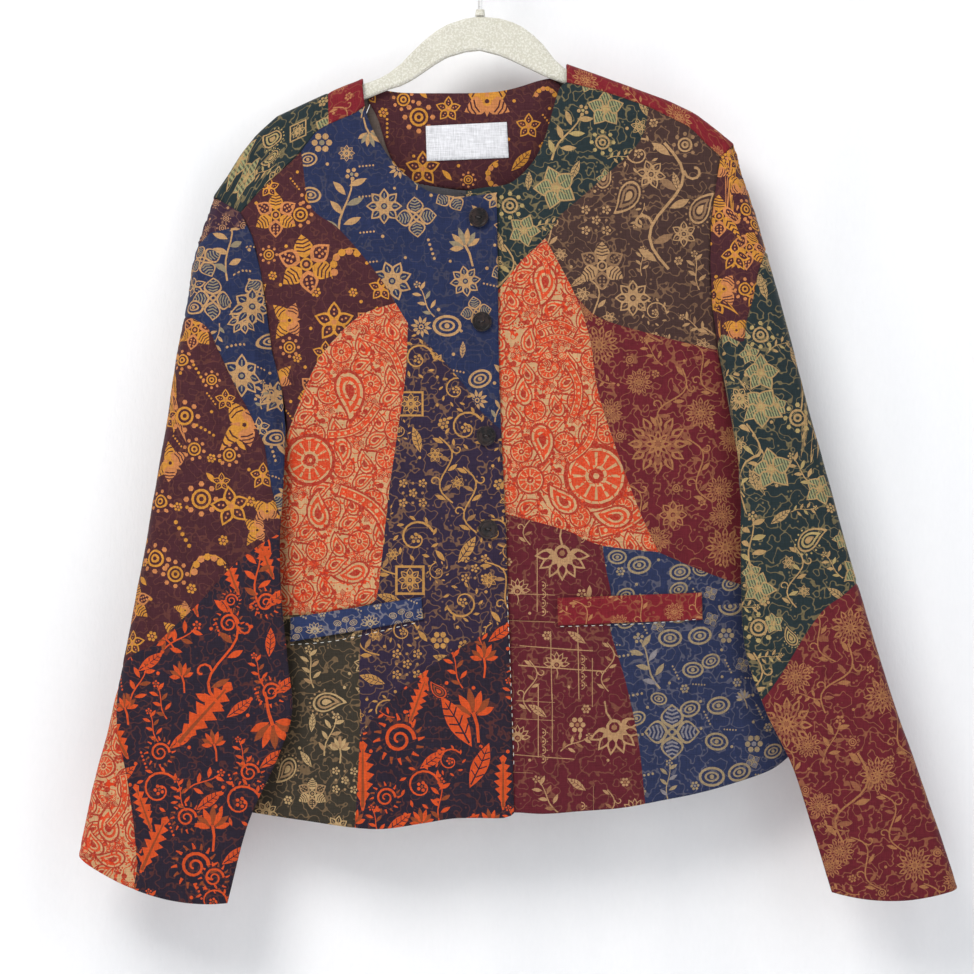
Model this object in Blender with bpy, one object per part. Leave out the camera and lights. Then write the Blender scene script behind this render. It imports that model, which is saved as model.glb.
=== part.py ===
# Patchwork jacket on a hanger: a collarless, long-sleeved jacket pieced from patterned cloth,
# hanging flat from a plain flocked hanger with a wire hook.
# The frame: x to the viewer's right, y away from the viewer, z up. The origin is the top of the
# hook's inside, where a rail would carry it. Sizes below are millimetres.
import math

import bmesh
import bpy
from mathutils import Vector
from mathutils.geometry import delaunay_2d_cdt

MM = 0.001
CLOTH = 2.0          # outer cloth with its lining
SEAM_GAP = 0.3       # between two pieces that are sewn together
EDGE = 2.15          # half the thickness where a front and a back meet at a side seam
OVERLAP_GAP = 1.0    # between the fronts where they lie on each other
LYING_LIFT = 2.2     # from the body to the sleeve where the sleeve lies on it
OVERLAP_END = 62.0
OVERLAP_FADE = 26.0
ROLL = 8.0           # radius of the cloth where it rolls over the hanger
QUARTER = math.pi * ROLL / 2
BODY_STEP = 29.0     # spacing of the points inside a body panel
SLEEVE_STEP = 31.0
LONGEST_EDGE = 30.0

# Top line of the shoulders seen from the front: x, z
LEFT_RIDGE = ((-220.6, -217.3), (-209.9, -201.7), (-197.6, -182.0), (-184.5, -165.6),
              (-168.1, -150.9), (-146.8, -141.2), (-124.6, -131.0), (-96.8, -119.4))
RIGHT_RIDGE = ((71.3, -107.4), (104.1, -118.9), (133.7, -129.6), (155.8, -137.8),
               (178.8, -149.2), (196.0, -162.4), (209.9, -173.8))
RIDGE = LEFT_RIDGE + RIGHT_RIDGE

# Armhole seams from the shoulder's tip to the underarm: front x, z and back x, z
LEFT_ARMHOLE = (
    ((-220.6, -217.3), (-220.6, -217.3)),
    ((-214.0, -221.5), (-216.5, -227.0)),
    ((-197.6, -231.2), (-210.0, -243.0)),
    ((-187.8, -250.9), (-204.0, -264.0)),
    ((-180.4, -281.3), (-199.0, -290.0)),
    ((-175.5, -314.0), (-196.0, -317.0)),
    ((-171.4, -345.2), (-194.0, -344.0)),
    ((-163.2, -378.0), (-193.0, -371.0)),
    ((-159.9, -406.7), (-192.0, -397.0)),
    ((-166.5, -428.9), (-189.0, -420.0)),
    ((-182.0, -437.1), (-182.0, -437.1)),
)
RIGHT_ARMHOLE = (
    ((209.9, -173.8), (209.9, -173.8)),
    ((205.0, -179.5), (207.0, -186.0)),
    ((198.4, -185.3), (203.0, -203.0)),
    ((194.3, -209.9), (200.0, -225.0)),
    ((190.2, -242.7), (198.0, -250.0)),
    ((189.4, -275.5), (198.0, -280.0)),
    ((191.1, -308.3), (200.0, -310.0)),
    ((196.0, -345.2), (205.0, -340.0)),
    ((203.4, -382.1), (212.0, -370.0)),
    ((214.0, -414.9), (221.0, -400.0)),
    ((231.2, -431.3), (231.2, -431.3)),
)
SHOULDER_CORNER = 2  # the armhole point where the shoulder seam ends, in front
BACK_CORNER = 2      # and behind
LEFT_FOLD = 8        # the front armhole point where the sleeve's inner fold starts
RIGHT_FOLD = 9

# Side lines that the depth of the body is worked out from: z, left x, right x
SIDES = ((-150.0, -240.0, 236.0), (-330.0, -222.0, 240.0), (-434.0, -182.0, 231.2),
         (-700.0, -198.4, 257.0), (-760.0, -199.0, 258.0))
# Depth in front of and behind the side seams: z, front, back
DEPTHS = ((-150.0, 11.0, 7.0), (-260.0, 19.0, 10.0), (-437.0, 23.0, 12.0), (-760.0, 26.0, 14.0))
DROP_TO_FULL_DEPTH = 95.0

# Soft folds in the fronts: x and z where each starts and ends, half width, depth (+ is a trough)
FOLDS = (
    ((186.0, -200.0), (174.0, -285.0), 15.0, 3.0),
    ((-60.0, -560.0), (-48.0, -740.0), 26.0, 3.5),
    ((-105.0, -600.0), (-100.0, -740.0), 24.0, -3.0),
    ((-22.0, -610.0), (-18.0, -735.0), 16.0, -2.0),
    ((120.0, -560.0), (150.0, -700.0), 30.0, 3.0),
    ((60.0, -600.0), (75.0, -725.0), 26.0, -2.5),
)

# Sleeve sections from the armhole down: outer edge x, z; inner edge x, z; y of the outer edge;
# y of the inner edge; half depth; sag of the section's line; share of the armhole's own shape
LEFT_SLEEVE = (
    ((-220.6, -217.3), (-159.9, -406.7), 0.0, -12.0, 9.0, 0.0, 1.0),
    ((-235.0, -262.0), (-160.0, -437.0), -2.0, -21.0, 10.0, 0.0, 0.8),
    ((-243.5, -312.0), (-161.5, -468.0), -3.0, -22.0, 11.0, 0.0, 0.35),
    ((-252.8, -367.0), (-163.5, -503.0), -5.0, -24.0, 11.0, 2.0, 0.08),
    ((-264.9, -437.0), (-162.0, -550.0), -8.0, -25.0, 10.5, 4.0, 0.0),
    ((-276.5, -507.0), (-157.0, -600.0), -11.0, -26.0, 10.0, 6.0, 0.0),
    ((-288.5, -572.0), (-153.5, -642.0), -14.0, -27.0, 10.0, 8.0, 0.0),
    ((-302.5, -640.0), (-166.5, -682.0), -17.0, -27.0, 9.5, 9.0, 0.0),
    ((-316.5, -703.0), (-189.5, -733.0), -20.0, -26.0, 9.0, 10.0, 0.0),
    ((-328.5, -760.0), (-206.5, -798.0), -22.0, -25.0, 8.5, 12.0, 0.0),
)
RIGHT_SLEEVE = (
    ((209.9, -173.8), (214.0, -414.9), 0.0, -12.0, 9.0, 0.0, 1.0),
    ((222.5, -211.0), (214.0, -440.0), -2.0, -21.0, 10.0, 0.0, 0.8),
    ((236.0, -262.0), (213.5, -468.0), -3.0, -22.0, 11.0, 0.0, 0.35),
    ((252.5, -325.0), (213.0, -502.0), -5.0, -24.0, 11.0, 2.0, 0.08),
    ((270.0, -393.0), (213.5, -545.0), -8.0, -25.0, 10.5, 4.0, 0.0),
    ((289.0, -460.0), (217.0, -592.0), -11.0, -26.0, 10.0, 6.0, 0.0),
    ((310.0, -535.0), (233.0, -640.0), -14.0, -27.0, 10.0, 7.0, 0.0),
    ((335.5, -620.0), (255.0, -686.0), -17.0, -27.0, 9.5, 8.0, 0.0),
    ((362.5, -700.0), (271.0, -735.0), -20.0, -26.0, 9.0, 7.0, 0.0),
    ((391.0, -785.5), (287.5, -789.0), -22.0, -25.0, 8.5, 8.0, 0.0),
)
NOSE = 0.16          # share of a half section that is the rolled outer edge
NOSE_REACH = 0.08    # share of the section's width that the roll takes
ARMHOLE_HOLD = (1.0, 0.2, 0.0, 0.0)  # share of the body's depth in the first sleeve sections
SLEEVE_LENGTH = 640.0
SLEEVE_WIDTH = 150.0

# Seams that more than one panel uses, x and z on the front
LEFT_SHOULDER = ((-197.6, -231.2), (-182.0, -214.0), (-166.5, -199.3), (-150.1, -183.7),
                 (-134.5, -164.0), (-118.9, -155.8), (-103.3, -149.2), (-95.1, -143.5))
RIGHT_SHOULDER = ((71.3, -123.8), (98.4, -130.4), (118.9, -137.0), (139.4, -144.3),
                  (172.2, -160.7), (188.0, -176.0), (198.4, -185.3))
LEFT_NECK = ((-95.1, -143.5), (-91.8, -155.0), (-85.3, -168.9), (-75.4, -185.3), (-63.1, -199.3),
             (-43.5, -214.0), (-27.1, -218.1), (-10.7, -218.9), (13.9, -215.7))
LEFT_EDGE = ((13.9, -215.7), (14.8, -296.0), (16.4, -386.2), (22.1, -517.4), (27.9, -724.1))
LEFT_HEM = ((27.9, -724.1), (19.0, -728.2), (-18.0, -728.2), (-42.6, -732.3), (-75.4, -737.2),
            (-104.1, -736.4), (-146.8, -731.4), (-187.0, -726.5), (-198.4, -724.5))
RIGHT_NECK = ((-11.5, -214.0), (0.8, -211.6), (24.6, -207.5), (41.8, -191.9), (52.5, -172.2),
              (61.5, -141.0), (66.0, -128.0), (71.3, -123.8))
RIGHT_HEM = ((3.3, -726.0), (27.9, -724.1), (50.0, -724.9), (83.6, -722.4), (117.3, -720.0),
             (150.9, -714.2), (183.7, -707.7), (217.3, -698.6), (241.1, -690.4), (256.0, -680.0))
UNDER_EDGE = ((-11.5, -214.0), (-9.0, -386.2), (-3.0, -550.0), (3.3, -726.0))
BACK_NECK = ((-96.8, -119.4), (-86.0, -127.0), (-65.6, -130.5), (-30.0, -131.0), (5.0, -130.5),
             (26.0, -127.5), (49.2, -120.5), (71.3, -107.4))
LEFT_BACK_YOKE = ((-86.0, -127.0), (-104.0, -168.0), (-126.0, -182.0), (-170.0, -205.0),
                  (-210.0, -243.0))
RIGHT_BACK_YOKE = ((49.2, -120.5), (72.0, -158.0), (110.0, -168.0), (170.0, -190.0),
                   (203.0, -203.0))
BACK_HEM = ((-198.4, -724.5), (-120.0, -730.0), (-40.0, -728.0), (40.0, -722.0), (130.0, -712.0),
            (210.0, -697.0), (256.0, -680.0))

# Patch seams of each panel, x and z, and the patches with a point inside each and their colour
LEFT_FRONT_SEAMS = {
    "under the navy": ((-147.6, -181.0), (-139.4, -226.3), (-114.8, -246.8), (-82.0, -286.2),
                       (-57.4, -325.5), (-32.8, -351.0), (-10.7, -377.2), (-2.5, -392.0),
                       (17.0, -411.0)),
    "round the paisley": ((-69.7, -306.7), (-94.3, -314.9), (-112.3, -328.8), (-132.8, -353.4),
                          (-147.6, -386.2), (-157.0, -409.0), (-166.5, -428.9)),
    "paisley to vine": ((-59.0, -323.0), (-61.5, -369.8), (-69.7, -427.2), (-75.4, -468.2),
                        (-83.6, -542.0), (-88.6, -552.7)),
    "under the paisley": ((-88.6, -552.7), (-114.8, -560.0), (-157.4, -563.3), (-192.0, -566.0)),
    "beside the olive": ((-88.6, -552.7), (-98.4, -587.1), (-98.4, -660.9), (-102.5, -736.4)),
    "over the leaves": ((-98.4, -662.0), (-77.9, -636.3), (-32.8, -599.4), (16.4, -570.7),
                        (24.0, -566.0)),
}
LEFT_FRONT_PATCHES = {
    "front_left_navy_daisy": ((-50.0, -260.0), (0.03, 0.05, 0.16)),
    "front_left_plum_gold": ((-140.0, -300.0), (0.12, 0.03, 0.05)),
    "front_left_red_paisley": ((-120.0, -450.0), (0.62, 0.28, 0.18)),
    "front_left_purple_vine": ((-40.0, -480.0), (0.05, 0.03, 0.09)),
    "front_left_olive_vine": ((-140.0, -660.0), (0.05, 0.05, 0.04)),
    "front_left_orange_leaf": ((-30.0, -680.0), (0.20, 0.05, 0.03)),
}
RIGHT_FRONT_SEAMS = {
    "teal to brown": ((139.4, -144.3), (131.2, -173.0), (98.4, -205.8), (65.6, -234.5)),
    "over the paisley": ((65.6, -234.5), (53.3, -253.4), (32.8, -273.1), (14.8, -296.0),
                         (-10.0, -319.0)),
    "beside the paisley": ((53.3, -253.4), (77.9, -300.1), (90.2, -337.0), (98.4, -386.2),
                           (127.1, -468.2), (146.0, -510.9)),
    "brown to burgundy": ((77.9, -300.1), (98.4, -319.0), (147.6, -333.7), (196.0, -345.2)),
    "under the paisley": ((146.0, -510.9), (98.4, -505.1), (69.7, -492.8), (24.6, -480.5),
                          (-5.3, -472.0)),
    "under the burgundy": ((146.0, -510.9), (180.4, -525.6), (214.8, -537.9), (243.0, -545.0)),
    "beside the plaid": ((100.0, -505.3), (103.3, -525.6), (107.4, -547.0), (106.6, -573.2),
                         (118.9, -615.8), (129.6, -665.0), (135.3, -716.8)),
    "under the wedge": ((107.3, -560.0), (147.6, -558.4), (214.8, -553.5), (245.0, -550.0)),
}
RIGHT_FRONT_PATCHES = {
    "front_right_teal_flower": ((80.0, -170.0), (0.02, 0.05, 0.05)),
    "front_right_brown_vine": ((150.0, -260.0), (0.07, 0.05, 0.04)),
    "front_right_red_paisley": ((40.0, -400.0), (0.70, 0.22, 0.12)),
    "front_right_burgundy_vine": ((150.0, -420.0), (0.16, 0.03, 0.05)),
    "front_right_navy_wedge": ((130.0, -535.0), (0.04, 0.05, 0.12)),
    "front_right_maroon_plaid": ((60.0, -620.0), (0.15, 0.03, 0.05)),
    "front_right_navy_roundel": ((190.0, -630.0), (0.04, 0.07, 0.17)),
}
LEFT_SLEEVE_SEAMS = {
    "under the cap": ((-194.0, -246.0), (-233.7, -259.1)),
    "navy to plum": ((-246.0, -317.0), (-225.0, -325.5), (-213.2, -348.5), (-200.1, -375.6),
                     (-189.4, -395.2), (-176.3, -423.1), (-170.6, -457.6), (-164.0, -480.0)),
    "plum to leaves": ((-162.5, -492.0), (-170.6, -499.4), (-208.3, -528.1), (-231.2, -553.5),
                       (-248.5, -569.9), (-271.4, -588.8), (-296.0, -607.6)),
    "beside the cuff corner": ((-297.5, -618.0), (-291.9, -679.0), (-283.7, -723.2),
                               (-280.0, -765.0), (-283.0, -786.0)),
}
LEFT_SLEEVE_PATCHES = {
    "sleeve_left_cap": ((-214.0, -236.0), (0.06, 0.03, 0.06)),
    "sleeve_left_navy_daisy": ((-205.0, -300.0), (0.03, 0.06, 0.17)),
    "sleeve_left_plum_gold": ((-220.0, -470.0), (0.12, 0.03, 0.05)),
    "sleeve_left_orange_leaf": ((-230.0, -650.0), (0.22, 0.05, 0.03)),
    "sleeve_left_cuff_corner": ((-305.0, -720.0), (0.55, 0.22, 0.16)),
}
RIGHT_SLEEVE_SEAMS = {
    "under the cap": ((240.0, -262.0), (229.6, -278.0), (224.7, -299.3), (218.1, -322.3),
                      (212.4, -338.7), (192.0, -343.0)),
    "teal to burgundy": ((309.5, -537.1), (300.1, -543.7), (281.3, -557.6), (265.7, -578.1),
                         (254.2, -597.0), (237.8, -622.4), (229.0, -632.0)),
}
RIGHT_SLEEVE_PATCHES = {
    "sleeve_right_plum_gold": ((214.0, -250.0), (0.12, 0.03, 0.05)),
    "sleeve_right_teal_flower": ((240.0, -420.0), (0.02, 0.05, 0.05)),
    "sleeve_right_burgundy_vine": ((310.0, -680.0), (0.16, 0.03, 0.05)),
}
TEAL, CRIMSON = (0.02, 0.05, 0.05), (0.20, 0.02, 0.04)
PLUM, NAVY, BROWN = (0.12, 0.03, 0.05), (0.03, 0.06, 0.17), (0.07, 0.05, 0.04)
LINING_GREY, LABEL_WHITE = (0.05, 0.05, 0.06), (0.8, 0.8, 0.82)
BUTTON_BROWN, HANGER_CREAM = (0.02, 0.015, 0.015), (0.68, 0.65, 0.57)
WIRE_GREY = (0.75, 0.75, 0.76)

# Seam between the two pieces of the left yoke: x and z in front, x on top, x and z behind
YOKE_SEAM = ((-125.0, -158.5), -125.5, (-126.0, -182.0))
YOKE_GUIDE_STEP = 14

# Pocket welts: corners from the top left, clockwise; they lie on the fronts
WELT_LIFT = 0.9
LEFT_WELT = ((-156.0, -565.0), (-48.0, -547.5), (-46.5, -566.0), (-156.5, -585.0))
RIGHT_WELT = ((63.1, -548.2), (182.0, -544.1), (182.5, -566.5), (63.6, -570.7))

# Inside the back neck
FACING_TOP = ((62.0, -118.0), (-91.0, -127.0))  # its upper corners, right and left
FACING_MIDDLE = (-10.0, -170.0)
LINING_MIDDLE = (0.0, -230.0)
FACING = ((-94.0, -136.0), (-85.0, -152.0), (-76.0, -180.0), (-62.0, -202.5), (-27.0, -209.5),
          (2.0, -211.0), (26.0, -206.0), (44.0, -190.0), (60.0, -160.0), (68.0, -130.0))
LINING = ((-62.0, -203.0), (-27.0, -210.0), (2.0, -211.5), (26.0, -206.5), (44.0, -190.5),
          (60.0, -196.0), (60.0, -246.0), (-76.0, -246.0), (-76.0, -190.0), (-74.0, -184.5))
LABEL = ((-45.1, -158.3), (22.1, -155.0), (23.8, -184.5), (-44.3, -187.4))
INNER_CLOTH = 1.2
LABEL_CLOTH = 1.0

BUTTONS = ((-1.2, -236.6), (1.6, -322.3), (4.9, -415.7), (6.6, -492.0))
BUTTON_RADIUS = 8.0
BUTTON_SIDES = 16
# Radius and height from the middle of the base to the middle of the dished top
BUTTON_PROFILE = ((0.0, 0.0), (6.8, 0.0), (BUTTON_RADIUS, 1.1), (BUTTON_RADIUS, 1.9), (7.1, 3.0),
                  (5.6, 2.3), (0.0, 2.1))

# Hanger stations: x, top z, bottom z. Past the neck its arms follow the shoulders.
HANGER = ((-91.8, -122.6, -135.6), (-83.0, -119.2, -132.0), (-75.4, -115.0, -128.9),
          (-65.6, -107.5, -126.0), (-56.6, -98.0, -121.5), (-46.7, -88.5, -115.0),
          (-36.9, -80.6, -108.2), (-27.1, -74.8, -102.5), (-12.0, -69.8, -98.0), (0.0, -68.1, -96.8),
          (16.4, -69.8, -101.0), (27.0, -73.0, -105.5), (35.3, -77.0, -109.5), (44.3, -83.8, -113.6),
          (52.5, -91.8, -117.6), (61.5, -103.5, -121.0), (69.7, -110.9, -123.8))
ARM_ENDS = (-176.0, 184.0)
ARM_DROP = 2.9       # from the shoulders' top line to the top of an arm
ARM_HEIGHT = 14.5
ARM_STEPS = 5
ARM_TIP = 3.0        # how much lower and higher an arm's end is cut, which rounds it
HANGER_SECTION = ((0.0, 0.0), (2.1, -0.8), (3.0, -2.6))  # y and drop from the top's middle
COLLAR_RADIUS = 4.2
COLLAR_HEIGHT = 5.0
COLLAR_SIDES = 14
WIRE = 1.8           # radius of the hook's wire
HOOK_RADIUS = 17.0   # inside of the hook
HOOK_START, HOOK_TURN, HOOK_STEPS = -25.0, 205.0, 12  # degrees where the bend starts, its turn
STEM = ((0.0, 0.0), (0.0, 7.0), (0.8, 12.0), (4.5, 20.0))  # x and height over the collar
THROAT = (12.0, -14.0)                                    # x and height from the bend's middle
TIP = ((1.5, -6.0), (5.5, -11.0))                         # from the bend's end to the hook's tip


def smooth_step(value):
    value = min(1.0, max(0.0, value))
    return value * value * (3.0 - 2.0 * value)


def read_table(rows, key, columns):
    """Values of a table's columns at a key, in straight lines between its rows."""
    rising = sorted(rows)
    if key <= rising[0][0]:
        return [rising[0][column] for column in columns]
    for low, high in zip(rising, rising[1:]):
        if key <= high[0]:
            share = (key - low[0]) / (high[0] - low[0])
            return [low[column] + (high[column] - low[column]) * share for column in columns]
    return [rising[-1][column] for column in columns]


def ridge_height(x):
    return read_table(RIDGE, x, (1,))[0]


def lens(x, z):
    left, right = read_table(SIDES, z, (1, 2))
    share = min(1.0, abs((2.0 * x - left - right) / (right - left)))
    return 1.0 - share ** 3


def fold_depth(x, z):
    total = 0.0
    for (x0, z0), (x1, z1), half_width, depth in FOLDS:
        along = ((x - x0) * (x1 - x0) + (z - z0) * (z1 - z0)) / ((x1 - x0) ** 2 + (z1 - z0) ** 2)
        near = min(1.0, max(0.0, along))
        away = math.hypot(x - x0 - (x1 - x0) * near, z - z0 - (z1 - z0) * near)
        total += depth * smooth_step(1.0 - away / (1.6 * half_width))
    return total


def body_depth(x, z, front):
    """Distance of the body's outer side from the plane of its side seams, below the shoulders."""
    depths = read_table(DEPTHS, z, (1, 2))
    full = depths[0 if front else 1] * lens(x, z) + EDGE
    if front:
        full -= fold_depth(x, z) * lens(x, z)
    drop = ridge_height(x) - ROLL - z
    return ROLL + (full - ROLL) * smooth_step(drop / DROP_TO_FULL_DEPTH)


def body_at(x, down):
    """Outer point and outward direction at a distance down from the top line, + is in front."""
    front = down > 0.0
    way = -1.0 if front else 1.0
    if abs(down) <= QUARTER:
        angle = abs(down) / ROLL
        height = ridge_height(x) - ROLL + ROLL * math.cos(angle)
        return (Vector((x, way * ROLL * math.sin(angle), height)),
                Vector((0.0, way * math.sin(angle), math.cos(angle))))
    z = ridge_height(x) - ROLL - (abs(down) - QUARTER)
    return Vector((x, way * body_depth(x, z, front), z)), Vector((0.0, way, 0.0))


def down_from_top(x, z, front):
    """Distance down from the top line to a height, as body_at reads it."""
    drop = ridge_height(x) - z
    if drop >= ROLL:
        down = QUARTER + drop - ROLL
    else:
        down = ROLL * math.acos(min(1.0, 1.0 - max(drop, 0.0) / ROLL))
    return down if front else -down


def front_at(x, z):
    return body_at(x, down_from_top(x, z, True))


def back_at(x, z):
    return body_at(x, down_from_top(x, z, False))


def right_front_at(x, z):
    """The right front passes behind the left one where they overlap."""
    point, way = front_at(x, z)
    behind = (CLOTH + OVERLAP_GAP) * smooth_step((OVERLAP_END - x) / OVERLAP_FADE)
    return point - way * behind, way


def sleeve_row(table, along):
    """One sleeve section between the table's rows: a smooth curve through each column."""
    place = along * (len(table) - 1)
    row = min(int(place), len(table) - 2)
    share = place - row

    def flat(entry):
        return (*entry[0], *entry[1], *entry[2:])

    near = [flat(table[min(max(row + step, 0), len(table) - 1)]) for step in (-1, 0, 1, 2)]
    values = []
    for before, start, end, after in zip(*near):
        slope_in = (end - before) / 2 if row > 0 else end - start
        slope_out = (after - start) / 2 if row < len(table) - 2 else end - start
        square, cube = share ** 2, share ** 3
        values.append(start * (2 * cube - 3 * square + 1) + slope_in * (cube - 2 * square + share)
                      + end * (3 * square - 2 * cube) + slope_out * (cube - square))
    return values


def across_section(across):
    """Share of the width and of the depth at a share of the way round a half section."""
    if across < NOSE:
        angle = math.pi / 2 * across / NOSE
        return NOSE_REACH * (1.0 - math.cos(angle)), math.sin(angle)
    return NOSE_REACH + (across - NOSE) / (1.0 - NOSE) * (1.0 - NOSE_REACH), 1.0


def armhole_loop(armhole, fold, front):
    """Points and outward directions of the body along one half of an armhole, from the shoulder's
    tip to the sleeve's inner fold. The back half passes the underarm and climbs to the fold."""
    tip = body_at(armhole[0][0][0], 0.0)
    if front:
        point, way = front_at(*armhole[fold][0])
        last = (point + way * (2 * CLOTH + LYING_LIFT + 3 * SEAM_GAP), way)
        return [tip] + [front_at(*row[0]) for row in armhole[1:fold]] + [last]
    lying = [front_at(*row[0]) for row in armhole[fold:][::-1]]
    return ([tip] + [back_at(*row[1]) for row in armhole[1:]]
            + [(point + way * LYING_LIFT, -way) for point, way in lying])


def armhole_at(loop, across):
    place = across * (len(loop) - 1)
    row = min(int(place), len(loop) - 2)
    share = place - row
    start, end = loop[row], loop[row + 1]
    return start[0].lerp(end[0], share), start[1].lerp(end[1], share).normalized()


def sleeve_point(sleeve, across, along, front):
    table, loops = sleeve
    out_x, out_z, in_x, in_z, out_y, in_y, depth, sag, shape = sleeve_row(table, along)
    wide, deep = across_section(across)
    seam = armhole_at(loops[front], across)[0]
    chord_x = table[0][0][0] + (table[0][1][0] - table[0][0][0]) * wide
    chord_z = table[0][0][1] + (table[0][1][1] - table[0][0][1]) * wide
    dip = 4.0 * sag * wide * (1.0 - wide)
    x = out_x + (in_x - out_x) * wide + shape * (seam.x - chord_x)
    z = out_z + (in_z - out_z) * wide + shape * (seam.z - chord_z) - dip
    half = (depth * (1.0 - wide ** 3) + EDGE) * deep
    y = out_y + (in_y - out_y) * wide + (-half if front else half)
    hold = read_table([(row, value) for row, value in enumerate(ARMHOLE_HOLD)],
                      along * (len(table) - 1), (1,))[0]
    return Vector((x, y + (seam.y - y) * hold, z))


def sleeve_at(sleeve, across, along, front):
    """Outer point and outward direction of a sleeve's front or back half."""
    point = sleeve_point(sleeve, across, along, front)
    step = 0.01
    low, high = max(0.0, across - step), min(1.0, across + step)
    round_way = (sleeve_point(sleeve, high, along, front)
                 - sleeve_point(sleeve, low, along, front))
    if across < step:
        round_way = Vector((0.0, -1.0 if front else 1.0, 0.0))
    low, high = max(0.0, along - step), min(1.0, along + step)
    long_way = (sleeve_point(sleeve, across, high, front)
                - sleeve_point(sleeve, across, low, front))
    out = round_way.cross(long_way).normalized()
    centre = sleeve_point(sleeve, 0.5, along, True)
    centre = centre.lerp(sleeve_point(sleeve, 0.5, along, False), 0.5)
    if out.dot(point - centre) < 0.0:
        out = -out
    seam_way = armhole_at(sleeve[1][front], across)[1]
    hold = 1.0 - smooth_step(along * (len(sleeve[0]) - 1) / 1.2)
    return point, out.lerp(seam_way, hold).normalized()


def sleeve_place(sleeve, x, z):
    """Across and along shares of the point of a sleeve's front that is seen at x, z."""
    seen = Vector((x, z))

    def miss(pair):
        return (sleeve_point(sleeve, *pair, True).xz - seen).length

    across, along = min(((column / 12, row / 30) for column in range(13) for row in range(31)),
                        key=miss)
    size = 0.04
    while size > 0.0005:
        near = [(min(1.0, max(0.0, across + size * a)), min(1.0, max(0.0, along + size * b)))
                for a in (-1, 0, 1) for b in (-1, 0, 1)]
        best = min(near, key=miss)
        if best == (across, along):
            size /= 2
        across, along = best
    return across, along


def divided(line, longest):
    """A line with points added so that no stretch is longer than longest."""
    points = [Vector(line[0])]
    for start, end in zip(line, line[1:]):
        start, end = Vector(start), Vector(end)
        count = max(1, math.ceil((end - start).length / longest))
        points += [start.lerp(end, number / count) for number in range(1, count + 1)]
    return points


def nearest_on(line, point):
    """Nearest point of a line, its distance, and the number of the stretch that it lies on."""
    best, least, stretch = None, 1e9, 0
    for number, (start, end) in enumerate(zip(line, line[1:])):
        way = end - start
        share = min(1.0, max(0.0, (point - start).dot(way) / max(way.length_squared, 1e-9)))
        near = start + way * share
        if (near - point).length < least:
            best, least, stretch = near, (near - point).length, number
    return best, least, stretch


def joined_end(lines, point, reach):
    """The place where a seam's end meets the nearest line, which gets a point there."""
    found = [(*nearest_on(line, point), line) for line in lines]
    place, distance, stretch, line = min(found, key=lambda one: one[1])
    if distance > reach:
        return point
    for corner in (line[stretch], line[stretch + 1]):
        if (corner - place).length < 1.0:
            return corner.copy()
    line.insert(stretch + 1, place)
    return place.copy()


def inside(outline, point):
    odd = False
    for start, end in zip(outline, outline[1:]):
        if (start.y > point.y) != (end.y > point.y):
            cross = start.x + (point.y - start.y) / (end.y - start.y) * (end.x - start.x)
            odd ^= point.x < cross
    return odd


def cut_panel(outline, seams, seeds, step, guides=(), longest=LONGEST_EDGE):
    """Cuts a flat panel along its seams. Returns each patch's points and triangles by name."""
    rim = divided(list(outline) + [outline[0]], longest)
    lines = [rim]
    for seam in seams:
        line = [Vector(point) for point in seam]
        for end in (0, -1):
            line[end] = joined_end(lines, line[end], 0.8 * step)
        lines.append(divided(line, longest))
    points, edges = [], []
    for line in lines:
        first = len(points)
        points += line
        edges += [(first + number, first + number + 1) for number in range(len(line) - 1)]
    lows = [min(point[axis] for point in rim) for axis in (0, 1)]
    highs = [max(point[axis] for point in rim) for axis in (0, 1)]
    for row in range(1 + int((highs[1] - lows[1]) / (step * 0.9))):
        for column in range(1 + int((highs[0] - lows[0]) / step)):
            place = Vector((lows[0] + (column + 0.25 + 0.5 * (row % 2)) * step,
                            lows[1] + (row + 0.5) * step * 0.9))
            clear = min(nearest_on(line, place)[1] for line in lines) > 0.5 * step
            if guides:
                clear &= abs(place.y) > QUARTER + 0.4 * step
            if clear and inside(rim, place):
                points.append(place)
    for guide in guides:
        points += [Vector(place) for place in guide if inside(rim, Vector(place))
                   and min(nearest_on(line, Vector(place))[1] for line in lines) > 2.0]
    flat, ends, faces, _, made_of, _ = delaunay_2d_cdt(points, edges, [], 0, 1e-3)
    fixed = {tuple(sorted(pair)) for pair, source in zip(ends, made_of) if source}
    owner = {}
    for number, face in enumerate(faces):
        for start, end in zip(face, face[1:] + face[:1]):
            owner.setdefault(tuple(sorted((start, end))), []).append(number)
    patches = {}
    for name, seed in seeds.items():
        seed = Vector(seed)
        start = next(number for number, face in enumerate(faces)
                     if inside([flat[corner] for corner in face + face[:1]], seed))
        found, queue = {start}, [start]
        while queue:
            face = faces[queue.pop()]
            for pair in zip(face, face[1:] + face[:1]):
                pair = tuple(sorted(pair))
                if pair not in fixed:
                    fresh = [number for number in owner[pair] if number not in found]
                    found.update(fresh)
                    queue += fresh
        used = sorted({corner for number in found for corner in faces[number]})
        index = {corner: place for place, corner in enumerate(used)}
        triangles = [tuple(index[corner] for corner in faces[number]) for number in sorted(found)]
        patches[name] = (pulled_in([flat[corner] for corner in used], triangles), triangles)
    return patches


def rim_edges(triangles):
    """Edges that one triangle alone uses, each in that triangle's direction."""
    pairs = {pair for face in triangles for pair in zip(face, face[1:] + face[:1])}
    return [pair for pair in pairs if pair[::-1] not in pairs]


def pulled_in(points, triangles):
    """The points with the rim moved inwards by half the gap of a seam."""
    pulls = {}
    for start, end in rim_edges(triangles):
        way = (points[end] - points[start]).normalized()
        for corner in (start, end):
            pulls.setdefault(corner, []).append(Vector((-way.y, way.x)))
    moved = list(points)
    for corner, normals in pulls.items():
        total = sum(normals, Vector((0.0, 0.0)))
        if total.length > 0.3:
            spread = max(0.35, total.length / len(normals))
            moved[corner] = points[corner] + total.normalized() * (SEAM_GAP / 2 / spread)
    return moved


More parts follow.
